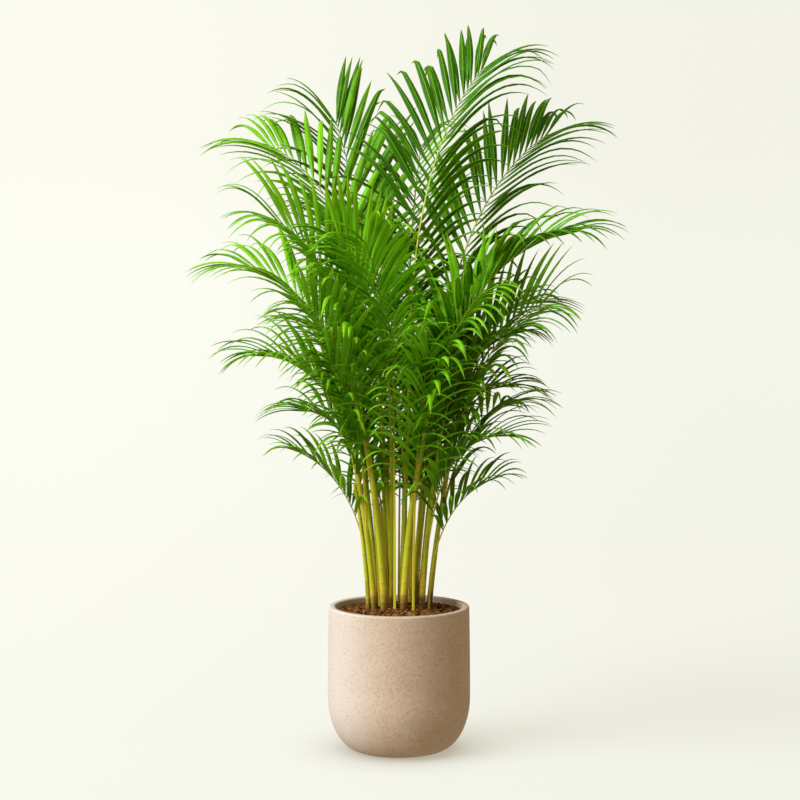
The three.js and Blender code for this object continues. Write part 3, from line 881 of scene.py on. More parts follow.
@dataclass
class Soil:
    """Potting soil that fills the planter, heaped a little behind its middle.

    Attributes:
        bowl, floor: the planter's inner face and the height of its floor.
        edge_height, mound_height: how high the soil is at the wall and on the heap.
        mound_centre, mound_radius: the heap's place and size.
        lump: how far the waves of its surface go up and down at most.
        waves: the lengths of the three waves, over 2 pi.
        rough: height and width of the hills of three sizes on it.
        clearance: the gap between the soil and the wall.
        rings, sides: points along a radius of its top and round its axis.
        crumbs: how many loose crumbs lie on it.
        finish: its material.
    """

    bowl: Cup = Planter.inside
    floor: float = Planter.wall
    edge_height: float = 0.292
    mound_height: float = 0.302
    mound_centre: tuple[float, float] = (0.0, 0.018)
    mound_radius: float = 0.105
    lump: float = 0.0022
    waves: tuple[float, float, float] = (0.009, 0.007, 0.013)
    rough: tuple[tuple[float, float], ...] = ((0.0016, 0.010), (0.0011, 0.0045), (0.0006, 0.0022))
    clearance: float = 0.00035
    rings: int = 110
    sides: int = 320
    crumbs: int = 2400
    finish: SoilFinish = SoilFinish()

    WALL_STEPS = 24
    NEAR = 1e-6
    CRUMB_SEED = 11
    CRUMB_SIZE = 0.0011
    CRUMB_LEAST = 0.0006
    CRUMB_SPREAD = 0.42
    CRUMB_STRETCH = (0.55, 1.5)
    CRUMB_FLAT = (1.15, 1.15, 0.8)
    CRUMB_KNOCK = (0.78, 1.2)
    CRUMB_RISE = 0.25
    EDGE_GAP = 0.004
    EDGE_ROOM = 0.003

    def mound(self, x: Array, y: Array) -> Array:
        """Height of the heap.

        It is edge + (top - edge) max(0, 1 - a^2), where a is how far the place is from the
        heap's centre over its radius, and then lump/2 (sin(x/p) cos(y/q) + sin((x + 2y)/r)).

        Args:
            x, y: places.

        Returns:
            The height at each place.
        """
        away = np.hypot(x - self.mound_centre[0], y - self.mound_centre[1]) / self.mound_radius
        rise = np.clip(1 - away**2, 0, None)
        p, q, r = self.waves
        waves = np.sin(x / p) * np.cos(y / q) + np.sin((x + 2 * y) / r)
        return mixed(self.edge_height, self.mound_height, rise) + self.lump * 0.5 * waves

    def surface(self, x: Array, y: Array) -> Array:
        """The mound with small hills of three sizes added.

        Args:
            x, y: places.

        Returns:
            The height at each place.
        """
        hills = enumerate(self.rough, start=1)
        crumb = sum(high * cell_noise(x, y, wide, seed) for seed, (high, wide) in hills)
        return self.mound(x, y) + crumb

    def build(self) -> list[bpy.types.Object]:
        """Makes the body of soil and the loose crumbs on it.

        Returns:
            The two pieces.
        """
        material = self.finish.material()
        body = self._body().piece("potting_soil", [material])
        crumbs = self._crumbs().piece("soil_crumbs", [material])
        return [fitted(body, "soil"), fitted(crumbs)]

    def _body(self) -> Skin:
        """The soil as a profile up the bowl's wall and in to the middle, with its top raised.

        Returns:
            Its skin.
        """
        wall_z = np.linspace(self.floor + self.clearance, self.edge_height, self.WALL_STEPS)
        wall_r = self.bowl.radius(wall_z - self.floor) - self.clearance
        top_r = wall_r[-1] * np.linspace(1, 0, self.rings)[1:]
        radius = np.concatenate([[0], wall_r, top_r])
        height = np.concatenate([wall_z[:1], wall_z, np.full(len(top_r), self.edge_height)])
        points, faces = turned_profile(radius, height, self.sides)
        top = np.hypot(points[:, 0], points[:, 1]) < wall_r[-1] - self.NEAR
        top &= points[:, 2] > self.edge_height - self.NEAR
        points[top, 2] = self.surface(points[top, 0], points[top, 1])
        skin = Skin()
        skin.add(points, faces)
        return skin

    def _crumbs(self) -> Skin:
        """Lumps of bark and soil: an icosahedron each, stretched, knocked about and turned.

        Returns:
            Their skin.
        """
        random = np.random.default_rng(self.CRUMB_SEED)
        shape, faces = icosahedron()
        n = self.crumbs
        edge = self.bowl.rim - self.EDGE_GAP
        away = edge * np.sqrt(random.uniform(0, 1, n))
        turn = random.uniform(0, 2 * np.pi, n)
        x, y = away * np.cos(turn), away * np.sin(turn)
        size = self.CRUMB_SIZE * np.exp(random.normal(0, self.CRUMB_SPREAD, n))
        size = np.minimum(size, (edge + self.EDGE_ROOM - away) * 0.5 + self.CRUMB_LEAST)
        stretch = random.uniform(*self.CRUMB_STRETCH, (n, 1, 3)) * self.CRUMB_FLAT
        knock = random.uniform(*self.CRUMB_KNOCK, (n, len(shape), 1))
        axes = np.linalg.qr(random.normal(size=(n, 3, 3)))[0]
        axes *= np.sign(np.linalg.det(axes))[:, None, None]
        lumps = (shape * stretch * knock * size[:, None, None]) @ axes
        lumps += np.stack([x, y, self.surface(x, y) + self.CRUMB_RISE * size], axis=-1)[:, None]
        skin = Skin()
        skin.add(lumps, [(faces + len(shape) * np.arange(n)[:, None, None]).reshape(-1, 3)])
        return skin


def icosahedron() -> tuple[Array, Array]:
    """An icosahedron of radius 1.

    It has two poles and two rings of five. A ring is 1/sqrt(5) below or above the centre and
    2/sqrt(5) in radius, and the upper one is turned by 36 degrees.

    Returns:
        Its corners, and its faces counterclockwise from outside.
    """
    turn = np.radians(np.arange(5) * 72)
    ring = np.stack([np.cos(turn), np.sin(turn)], axis=-1) * 2 / math.sqrt(5)
    low = np.column_stack([ring, np.full(5, -1 / math.sqrt(5))])
    half = np.radians(36)
    spun = ring @ [[math.cos(half), math.sin(half)], [-math.sin(half), math.cos(half)]]
    high = np.column_stack([spun, np.full(5, 1 / math.sqrt(5))])
    points = np.vstack([[0, 0, -1], low, high, [0, 0, 1]])
    j, k = np.arange(5), (np.arange(5) + 1) % 5
    faces = [
        np.stack([0 * j, 1 + k, 1 + j], axis=-1),
        np.stack([1 + j, 1 + k, 6 + j], axis=-1),
        np.stack([1 + k, 6 + k, 6 + j], axis=-1),
        np.stack([6 + j, 6 + k, 0 * j + 11], axis=-1),
    ]
    return points, np.concatenate(faces)


# ---- Centre lines -------------------------------------------------------------------------------


@dataclass
class Arch:
    """A centre line that bends in one upright plane.

    It leaves start leaning lean[0] from upright towards the compass side and ends leaning
    lean[1]. At the share u of its length it leans lean[0] + (lean[1] - lean[0]) u^gather.

    Attributes:
        start: where it starts.
        side: the compass side, 0 for +X and 90 for +Y.
        lean: its lean from upright at the start and at the end.
        length: its length.
        turn: how far its upper face is twisted round it.
        gather: the power that gathers the bend towards the end.
    """

    start: Array
    side: float
    lean: tuple[float, float]
    length: float
    turn: float = 0.0
    gather: float = 1.0

    STEPS = 400

    def leaning(self, lean: Array) -> Array:
        """Unit vectors at leans from upright: up times the cosine plus side times the sine.

        Args:
            lean: the leans.

        Returns:
            A vector for each lean.
        """
        angle = np.radians(lean)[..., None]
        side = np.radians(self.side)
        return UP * np.cos(angle) + np.array([np.cos(side), np.sin(side), 0]) * np.sin(angle)

    def frames(self, u: Array) -> tuple[Array, Array, Array, Array]:
        """Places along the line, which is the sum of many short straight steps.

        Args:
            u: shares of the length.

        Returns:
            At each share, the point, the direction, the upper face's normal and the flank.
        """
        fine = np.linspace(0, 1, self.STEPS + 1)
        middle = (fine[1:] + fine[:-1]) / 2
        steps = self.leaning(mixed(*self.lean, middle**self.gather)) * self.length / self.STEPS
        line = np.concatenate([[self.start], self.start + np.cumsum(steps, axis=0)])
        point = np.stack([np.interp(u, fine, line[:, axis]) for axis in range(3)], axis=-1)
        lean = mixed(*self.lean, u**self.gather)
        along = self.leaning(lean)
        face = turned(self.leaning(lean - 90), along, np.full(u.shape, self.turn))
        return point, along, face, np.cross(along, face)


# ---- Canes --------------------------------------------------------------------------------------


@dataclass
class Cane:
    """A ringed cane that stands in the soil and tapers to its crown.

    Attributes:
        name: its name among the canes.
        foot: where it leaves the soil.
        side, lean: the compass side it leans to, and its lean at the foot and at the crown.
        length: its length above the soil.
        radius: its radius at the foot.
        husk: how far up the old brown sheath reaches, as a share of its length.
    """

    name: str
    foot: tuple[float, float]
    side: float
    lean: tuple[float, float]
    length: float
    radius: float
    husk: float = 0.06

    SINK = 0.055
    TAPER = 0.3
    SIDES = 24
    STEP = 0.005
    OVAL = 0.03
    OVAL_TURN = 9.0
    CROWN = 0.05
    MOUTH = 0.0032
    MOUTH_WALL = 0.0006
    MOUTH_MM = (0, 0.4, 1.0, 2.0, 3.5)
    MOUTH_ROOM = 0.004
    BRIM = 0.002
    BRIM_SHARE = 0.72
    SCARS = (2.0, 4.0, 7.0, 11.0, 16.0, 22.0, 29.0, 37.0)
    SCARS_END = 0.8
    SCAR_MM = (-4, -2.4, -1.4, -0.8, -0.3, 0, 0.4, 1.0, 1.8, 3)
    SCAR_RISE = 0.0006
    SCAR_BELOW = 0.004
    SCAR_ABOVE = 0.0006
    SCAR_LINE = 0.0011
    HUSK_EDGE = (-0.04, 0.1)
    HUSK_AGE = 0.34
    CROWN_AGE = 0.75
    AGE_SHAKE = 0.08

    def arch(self, soil: Soil) -> Arch:
        """The cane's centre line, from inside the soil to the crown.

        Args:
            soil: the soil it stands in.

        Returns:
            The line.
        """
        x, y = self.foot
        start = np.array([x, y, soil.mound(x, y) - self.SINK])
        return Arch(start, self.side, self.lean, self.length + self.SINK)

    def scars(self) -> Array:
        """Heights of the leaf scars above the soil, at so many radii and never near the crown."""
        heights = np.array(self.SCARS) * self.radius
        return heights[heights < self.length * self.SCARS_END]

    def stations(self) -> Array:
        """Places along the cane.

        Returns:
            A place every 5 mm, and more of them at each scar and at the mouth.
        """
        reach = self.length + self.SINK
        fine = (self.scars()[:, None] + np.array(self.SCAR_MM) * MM).ravel() + self.SINK
        mouth = reach - np.array(self.MOUTH_MM) * MM
        places = np.concatenate([np.arange(0, reach - self.MOUTH_ROOM, self.STEP), fine, mouth])
        return np.unique(np.round(places, 5))

    def scar_shape(self, height: Array) -> tuple[Array, Array]:
        """The shape and the darkness of the scars.

        At the distance d above a scar, the skin is raised by (1 + d / 4 mm)^2 below the scar
        and by 1 - d / 0.6 mm above it, and it is dark by exp(-(d / 1.1 mm)^2).

        Args:
            height: heights above the soil.

        Returns:
            How far each height is raised and how dark it is, both from 0 to 1.
        """
        gap = height[:, None] - self.scars()
        below = np.clip(1 + gap / self.SCAR_BELOW, 0, 1) ** 2
        above = np.clip(1 - gap / self.SCAR_ABOVE, 0, 1)
        rise = np.where(gap < 0, below, above).max(axis=1)
        return rise, np.exp(-((gap / self.SCAR_LINE) ** 2)).max(axis=1)

    def radii(self, along: Array, reach: float, rise: Array) -> Array:
        """The cane's radius: a straight taper that is raised at the scars.

        Over the crown's length it narrows to the mouth, which the frond comes out of, and its
        last edge is rounded off by a square root.

        Args:
            along: places along the cane.
            reach: its whole length.
            rise: how far the scars raise each place, from 0 to 1.

        Returns:
            The radius at each place.
        """
        taper = self.radius * (1 - self.TAPER * (along / reach))
        left = reach - along
        neck = eased(left, 0, self.CROWN)
        mouth = np.minimum(self.MOUTH + self.MOUTH_WALL, taper)
        radius = mixed(mouth, taper, neck) + self.SCAR_RISE * rise * neck
        return radius * mixed(self.BRIM_SHARE, 1, np.sqrt(np.clip(left / self.BRIM, 0, 1)))

    def build(
        self, soil: Soil, material: bpy.types.Material, random: np.random.Generator
    ) -> bpy.types.Object:
        """Makes the cane as a tube of rings along its arch.

        Args:
            soil: the soil it stands in.
            material: its material.
            random: draws its oval's turn, its grain and its age.

        Returns:
            The piece.
        """
        arch = self.arch(soil)
        along = self.stations()
        u, height = along / arch.length, along - self.SINK
        rise, dark = self.scar_shape(height)
        wobble = random.uniform(0, 2 * np.pi, 2)
        turn = -np.linspace(0, 2 * np.pi, self.SIDES, endpoint=False)
        oval = 1 + self.OVAL * np.cos(2 * turn + wobble[0] + self.OVAL_TURN * u[:, None])
        point, _, face, flank = arch.frames(u)
        out = flank[:, None] * np.cos(turn)[:, None] + face[:, None] * np.sin(turn)[:, None]
        spread = self.radii(along, arch.length, rise)[:, None] * oval
        x, y = np.cos(turn) * self.radius + wobble[1], np.sin(turn) * self.radius
        grain = np.stack(np.broadcast_arrays(x, y, height[:, None]), axis=-1)
        low, high = (self.husk + edge for edge in self.HUSK_EDGE)
        age = eased(height / self.length, low, high) * self.HUSK_AGE
        age = age + self.CROWN_AGE * height / self.length
        age = age + random.uniform(-self.AGE_SHAKE, self.AGE_SHAKE)
        skin = Skin()
        skin.add(
            point[:, None] + out * spread[..., None],
            tube_faces(len(u), self.SIDES),
            grain=grain.reshape(-1, 3),
            age=np.repeat(age, self.SIDES),
            scar=np.repeat(dark, self.SIDES),
        )
        piece = skin.piece(f"areca_cane_{self.name}", [material])
        return fitted(piece, f"cane_{self.name}")


CANES = [
    Cane("left_edge", (-0.063, 0.006), 183, (1, 10), 0.265, 0.0052),
    Cane("left_outer", (-0.050, -0.008), 188, (2, 12), 0.330, 0.0066),
    Cane("left_front", (-0.030, -0.019), 200, (1, 12), 0.410, 0.0080),
    Cane("middle_left", (-0.012, 0.030), 160, (1, 6), 0.390, 0.0064, 0.2),
    Cane("centre", (-0.015, 0.005), 265, (0, 4), 0.360, 0.0058),
    Cane("middle", (0.004, 0.006), 25, (1, 4), 0.390, 0.0058),
    Cane("right_front", (0.009, -0.024), -12, (0, 12), 0.350, 0.0084),
    Cane("right_outer", (0.045, -0.008), -8, (2, 9), 0.300, 0.0070),
    Cane("middle_right", (0.029, 0.026), 30, (4, 9), 0.370, 0.0068, 0.18),
    Cane("right_edge", (0.060, 0.026), 12, (4, 11), 0.300, 0.0064, 0.12),
    Cane("back_left", (-0.042, 0.040), 150, (4, 9), 0.340, 0.0064),
    Cane("back_left_inner", (-0.022, 0.066), 115, (3, 8), 0.400, 0.0068, 0.2),
    Cane("back_middle", (0.010, 0.060), 85, (3, 8), 0.410, 0.0068, 0.25),
    Cane("back_right", (0.042, 0.062), 45, (5, 11), 0.340, 0.0064, 0.12),
]


# ---- Fronds -------------------------------------------------------------------------------------


class Part(Enum):
    """The parts of a frond, by the number of their material."""

    STALK = 0
    BLADE = 1


@dataclass
class Frond:
    """A feather-shaped frond: a channelled stalk with a row of leaflets on each flank.

    Attributes:
        name: its name among the fronds.
        carrier: the name of its cane, or its foot in the soil.
        at: how far up the cane it grows, 1 at the crown.
        side, lean, turn: as in Arch.
        length: its length outside the cane or the soil.
        bare: the share of the stalk with no leaflets.
        leaf: its longest leaflet.
        pairs: pairs of leaflets in the source, which are drawn closer together here.
        tone_and_painted_light: how light its green is, from 0 to 1 and a little past them; partly
            its own tone and partly painted light and shade.
    """

    name: str
    carrier: str | tuple[float, float]
    at: float
    side: float
    lean: tuple[float, float]
    length: float
    bare: float
    leaf: float
    pairs: int
    turn: float = 0.0
    tone_and_painted_light: float = 0.5

    SINK = 0.034
    OFFSET = 0.4
    WIDTH = 0.0064
    TIP_WIDTH = 0.0017
    DEPTH = 0.93
    FLAT = 0.62
    ROUNDNESS = 0.6
    CHANNEL_DEPTH = 0.3
    CHANNEL_WIDTH = 0.45
    GATHER = 2.0
    STEPS = 90
    SIDES = 12
    CLOSER = 2.0
    ROOT = 0.009

    def arch(self, soil: Soil, canes: dict[str, Cane]) -> Arch:
        """The stalk's centre line, from inside its cane or the soil to the tip.

        Args:
            soil: the soil that the fronds and canes stand in.
            canes: the canes by name.

        Returns:
            The line.
        """
        if isinstance(self.carrier, tuple):
            x, y = self.carrier
            start, sink = np.array([x, y, soil.mound(x, y) - Cane.SINK]), Cane.SINK
        else:
            cane, sink = canes[self.carrier], self.SINK
            line = cane.arch(soil)
            height = mixed(Cane.SINK, line.length, self.at) - sink
            start = line.frames(np.array([height / line.length]))[0][0]
            if self.at < 1:
                side = math.radians(self.side)
                out = np.array([math.cos(side), math.sin(side), 0])
                start = start + out * cane.radius * self.OFFSET
        return Arch(start, self.side, self.lean, self.length + sink, self.turn, self.GATHER)

    def base_width(self, canes: dict[str, Cane]) -> float:
        """The stalk's width at its foot.

        Args:
            canes: the canes by name.

        Returns:
            The usual width, or the radius of a thinner cane.
        """
        if isinstance(self.carrier, tuple):
            return self.WIDTH
        return min(self.WIDTH, canes[self.carrier].radius)

    def stalk(self, arch: Arch, width: float, skin: Skin) -> None:
        """Adds the stalk, a rounded section with a shallow channel along its upper face.

        At the turn a of the section, x is cos(a) and y is sin(a). The point is half x to the
        flank. Towards the face it is half depth y in the lower half, and in the upper one
        half depth (flat - dip) y^roundness, where dip is channel exp(-(x / width)^2).

        Args:
            arch: its centre line.
            width: its width at its foot.
            skin: where it is added.
        """
        u = np.linspace(0, 1, self.STEPS)
        point, _, face, flank = arch.frames(u)
        half = mixed(width, self.TIP_WIDTH, u)[:, None] / 2
        turn = -np.linspace(0, 2 * np.pi, self.SIDES, endpoint=False)
        x, y = np.cos(turn), np.sin(turn)
        dip = self.CHANNEL_DEPTH * np.exp(-((x / self.CHANNEL_WIDTH) ** 2))
        rise = np.where(y > 0, (self.FLAT - dip) * np.abs(y) ** self.ROUNDNESS, y)
        out_x, out_y = half * x, half * (self.DEPTH * rise)
        out = flank[:, None] * out_x[..., None] + face[:, None] * out_y[..., None]
        points = point[:, None] + out
        skin.add(
            points,
            tube_faces(len(u), self.SIDES),
            finish=Part.STALK.value,
            blade=np.zeros((points.shape[0] * self.SIDES, 2)),
            tint=np.repeat(u, self.SIDES),
        )

    def grow(
        self, soil: Soil, canes: dict[str, Cane], skin: Skin, random: np.random.Generator
    ) -> None:
        """Adds the stalk and then all the leaflets at once.

        Args:
            soil, canes: as in arch.
            skin: where they are added.
            random: draws the leaflets' changes.
        """
        arch = self.arch(soil, canes)
        width = self.base_width(canes)
        self.stalk(arch, width, skin)
        Leaflets(self, arch, width).grow(skin, random)

    def build(
        self,
        soil: Soil,
        canes: dict[str, Cane],
        materials: Sequence[bpy.types.Material],
        random: np.random.Generator,
    ) -> bpy.types.Object:
        """Makes the frond's own piece.

        Args:
            soil, canes: as in arch.
            materials: the materials of its parts, by number.
            random: draws the leaflets' changes.

        Returns:
            The piece.
        """
        skin = Skin()
        self.grow(soil, canes, skin, random)
        piece = skin.piece(f"areca_frond_{self.name}", materials)
        return fitted(piece, f"frond_{self.name}")


@dataclass
class Bend:
    """How the midribs of many leaflets run.

    At the share v of its length a midrib runs along unit(leaving + down b), where b is
    droop v^2 + fold S, and S is the S-curve of v from the fold's place to a little past it.

    Attributes:
        leaving: the directions in which they leave the stalk.
        down: the directions to which they bend.
        droop: how far each bends in all.
        fold, fold_at: the size and the place of its sharp fold.
    """

    leaving: Array
    down: Array
    droop: Array
    fold: Array
    fold_at: Array

    FOLD_REACH = 0.14

    def direction(self, share: Array) -> Array:
        """Directions of the midribs.

        Args:
            share: shares of their lengths.

        Returns:
            For each leaflet, a unit vector at each share.
        """
        past = eased(share[None] - self.fold_at[:, None], 0, self.FOLD_REACH)
        bend = self.droop[:, None] * share**2 + past * self.fold[:, None]
        return unit(self.leaving[:, None] + self.down[:, None] * bend[..., None])


@dataclass
class Leaflets:
    """The two rows of leaflets of one frond, as thin blades folded along their midribs.

    A constant that ends in SHAKE says how far random changes go to either side. SWEEP, LIFT
    and SWELL have the values of the first and the last pair, and DROOP, FOLD and FOLD_LEVEL
    those of an upright and a lying leaflet. LYING and FOLD_LENGTH are the ends of S-curves.

    Attributes:
        frond: the frond they belong to.
        arch: its stalk's centre line.
        stalk_width: the stalk's width at its foot.
    """

    frond: Frond
    arch: Arch
    stalk_width: float

    STAGGER = 0.35
    CROWDING = 1.25
    SWEEP = (54.0, 22.0)
    SWEEP_SHAKE = 4.0
    LIFT = (34.0, 16.0)
    LIFT_SHAKE = 6.0
    SWELL = (0.34, 0.78)
    LENGTH = 1.03
    LENGTH_SHAKE = 0.07
    WIDTH = 0.0205
    WIDTH_LEAF = 0.235
    WIDTH_LOSS = 0.35
    WIDTH_SHAKE = 0.1
    LYING = (0.35, 0.65)
    DROOP = (0.6, 1.2)
    DROOP_SHAKE = 0.3
    FOLD_LEVEL = (-0.6, 0.75)
    FOLD = (2.6, 0.9)
    FOLD_LENGTH = (0.225, 0.265)
    FOLD_AT = 0.70
    FOLD_AT_SHAKE = 0.10
    ROLL_SHAKE = 8.0
    TWIST_SHAKE = 16.0
    TINT_SHAKE = 0.42
    ROOT_OUT = 0.2
    ROOT_LOSS = 0.7
    FINE = 48
    STATIONS = (0, 1, 3, 6, 10, 15, 20, 25, 30, 35, 39, 43, 46, 48)
    RING_U = (1.0, 0.75, 0.5, 0.25, 0.0, 0.5)
    RING_CREASES = (0, 2, 4)
    SLOPE_AT = (0.0, 0.4, 1.0)
    SLOPE = (55.0, 17.0, 30.0)
    BELLY = 0.12
    THICK = 0.0011
    THICK_LOSS = 0.8
    RIDGE = 0.15
    NARROW = 0.2
    WIDEST = 0.42
    TIP_POWER = 2.2
    TIP_LOSS = 0.2

    def places(self, pairs: int) -> tuple[Array, Array]:
        """Where the leaflets stand along the frond.

        Args:
            pairs: how many pairs there are.

        Returns:
            For each leaflet, its share t from the first to the last pair, and its hand, 1 or -1.
        """
        order = np.repeat(np.arange(pairs), 2)
        hand = np.tile([1.0, -1.0], pairs)
        stagger = np.where((hand < 0) & (order < pairs - 1), self.STAGGER, 0.0)
        return (order + stagger) / (pairs - 1), hand

    def grow(self, skin: Skin, random: np.random.Generator) -> None:
        """Adds every leaflet of the frond.

        A leaflet leaves the stalk by its sweep from the stalk and its lift from the flank:
        along cos(sweep) + (flank cos(lift) + face sin(lift)) sin(sweep). Its length is the
        frond's longest one times sin(pi s), where s goes through the swell, and its midrib is
        the sum of short steps along its bend.

        Args:
            skin: where they are added.
            random: draws each leaflet's changes.
        """
        frond, arch = self.frond, self.arch
        t, hand = self.places(round(frond.pairs * frond.CLOSER))
        shake = random.uniform(-1, 1, (9, len(t)))
        root = frond.ROOT / arch.length
        u = mixed(frond.bare, 1 - root, 1 - (1 - t) ** self.CROWDING) + 0.5 * root
        point, along, face, flank = arch.frames(u)
        sweep = np.radians(mixed(*self.SWEEP, t) + self.SWEEP_SHAKE * shake[0])[:, None]
        lift = np.radians(mixed(*self.LIFT, t) + self.LIFT_SHAKE * shake[1])[:, None]
        length = frond.leaf * np.sin(np.pi * mixed(*self.SWELL, t))
        length = length * (self.LENGTH + self.LENGTH_SHAKE * shake[2])
        width = self.WIDTH * (1 - self.WIDTH_LOSS * t) * (frond.leaf / self.WIDTH_LEAF)
        width = width * (1 + self.WIDTH_SHAKE * shake[3])
        wing = flank * hand[:, None] * np.cos(lift) + face * np.sin(lift)
        leaving = along * np.cos(sweep) + wing * np.sin(sweep)
        across, bend = self.bend(along, leaving, length, shake)

        v = np.arange(self.FINE + 1) / self.FINE
        steps = bend.direction((v[1:] + v[:-1]) / 2) * (length / self.FINE)[:, None, None]
        out = hand * self.ROOT_OUT * self.stalk_width * (1 - self.ROOT_LOSS * u)
        start = point + flank * out[:, None]
        line = np.concatenate([start[:, None], start[:, None] + np.cumsum(steps, axis=1)], axis=1)
        stations = np.array(self.STATIONS)
        line, v = line[:, stations], v[stations]
        ahead = bend.direction(v)
        across = unit(across[:, None] - dot(across[:, None], ahead) * ahead) * hand[:, None, None]
        roll = self.ROLL_SHAKE * shake[7][:, None] + self.TWIST_SHAKE * shake[8][:, None] * v
        across = turned(across, ahead, roll)
        points = self.sections(line, across, np.cross(across, ahead), v, width)
        # Painted light and shade: the frond's green, set frond by frond, plus each leaflet's own
        # random tone.
        tint = frond.tone_and_painted_light + random.uniform(-self.TINT_SHAKE, self.TINT_SHAKE, len(t))
        self.add_blades(skin, points, line[:, -1:], v, tint)

    def bend(self, along: Array, leaving: Array, length: Array, shake: Array) -> tuple[Array, Bend]:
        """Which way each leaflet is wide, and how it bends.

        A leaflet lies, as the S-curve of the level part of its leaving direction says, or it
        stands upright. A lying one keeps its width level and bends straight down. An upright
        one keeps its width along the stalk, and bends by half as much to its lower side. Most
        upright leaflets and a few lying ones, whose draw is above the level, have a sharp
        fold, and only if they are long.

        Args:
            along: the stalk's direction at each leaflet.
            leaving: the direction in which each leaves the stalk.
            length: each one's length.
            shake: the random changes.

        Returns:
            The directions of their widths, and their bend.
        """
        flat = unit(along - dot(along, leaving) * leaving)
        above = np.cross(flat, leaving)
        hang = above * -np.sign(above[:, 2:])
        level = unit(np.cross(leaving, UP))
        level = level * np.sign(dot(level, flat))
        lying = eased(np.hypot(leaving[:, 0], leaving[:, 1]), *self.LYING)
        across = unit(mixed(flat, level, lying[:, None]))
        down = mixed(hang, -UP, lying[:, None])
        droop = mixed(*self.DROOP, lying) * (1 + self.DROOP_SHAKE * shake[4])
        folded = shake[5] > mixed(*self.FOLD_LEVEL, lying)
        fold = np.where(folded, mixed(*self.FOLD, lying), 0.0) * eased(length, *self.FOLD_LENGTH)
        fold_at = self.FOLD_AT + self.FOLD_AT_SHAKE * shake[6]
        return across, Bend(leaving, down, droop, fold, fold_at)

    def half_width(self, v: Array) -> Array:
        """Half width of a leaflet: a narrow root, a widest place and a long thin tip.

        Up to the widest place it is narrow + (1 - narrow) (1 - (1 - v/widest)^2), and past it,
        with r from 0 there to 1 at the tip, (1 - r^power) (1 - loss r), all over 2.

        Args:
            v: shares of the length.

        Returns:
            The half width at each share, over the greatest width.
        """
        root = 1 - (1 - np.clip(v / self.WIDEST, 0, 1)) ** 2
        rest = np.clip((v - self.WIDEST) / (1 - self.WIDEST), 0, 1)
        tip = (1 - rest**self.TIP_POWER) * (1 - self.TIP_LOSS * rest)
        return mixed(self.NARROW, 1.0, root) * tip / 2

    def sections(self, line: Array, across: Array, under: Array, v: Array, width: Array) -> Array:
        """The blades' cross-sections round their midribs.

        A section has one edge, the middle of that half, the ridge, the middle of the other
        half, its edge and the keel. Both halves slope down from the ridge by the slope angle,
        and their middles are raised by the belly.

        Args:
            line: each leaflet's places along its midrib.
            across, under: its width's direction and its lower side there.
            v: the places' shares of its length.
            width: its greatest width.

        Returns:
            For each leaflet and place, the six points of the section.
        """
        slope = np.radians(np.interp(v, self.SLOPE_AT, self.SLOPE))
        half = (self.half_width(v) * width[:, None])[..., None]
        out, down = half * np.cos(slope)[:, None], half * np.sin(slope)[:, None]
        thick = (self.THICK * (1 - self.THICK_LOSS * v))[:, None]
        middle = under * (down * 0.5 - self.BELLY * half)
        ring = [
            across * out + under * down,
            across * out * 0.5 + middle,
            under * (-self.RIDGE * thick),
            -across * out * 0.5 + middle,
            -across * out + under * down,
            under * thick,
        ]
        return line[:, :, None] + np.stack(ring, axis=2)

    def add_blades(self, skin: Skin, points: Array, tips: Array, v: Array, tint: Array) -> None:
        """Adds the blades, each a tube of sections that ends in a point.

        Args:
            skin: where they are added.
            points: the sections' points.
            tips: the leaflets' ends, which take the place of their last sections.
            v: the sections' shares of the length.
            tint: each leaflet's tint.
        """
        n, rows, ring = points.shape[0], len(v) - 1, points.shape[2]
        blades = np.concatenate([points[:, :-1].reshape(n, -1, 3), tips], axis=1)
        count = blades.shape[1]
        j, last = np.arange(ring), (rows - 1) * ring
        tip = np.stack([last + j, last + (j + 1) % ring, np.full(ring, count - 1)], axis=-1)
        groups = (band_faces(rows, ring), tip, j[::-1][None])
        first = count * np.arange(n)[:, None, None]
        row = np.arange(rows)[:, None]
        starts = row * ring + np.array(self.RING_CREASES)
        ends = np.where(row < rows - 1, starts + ring, count - 1)
        sharp = np.stack([starts.ravel(), ends.ravel()], axis=-1) + first
        chart = np.stack(np.broadcast_arrays(self.RING_U, v[:-1, None]), axis=-1).reshape(-1, 2)
        skin.add(
            blades,
            [(group + first).reshape(-1, group.shape[1]) for group in groups],
            finish=Part.BLADE.value,
            sharp=sharp.reshape(-1, 2),
            blade=np.tile(np.concatenate([chart, [[0.5, 1.0]]]), (n, 1)),
            tint=np.repeat(tint, count),
        )
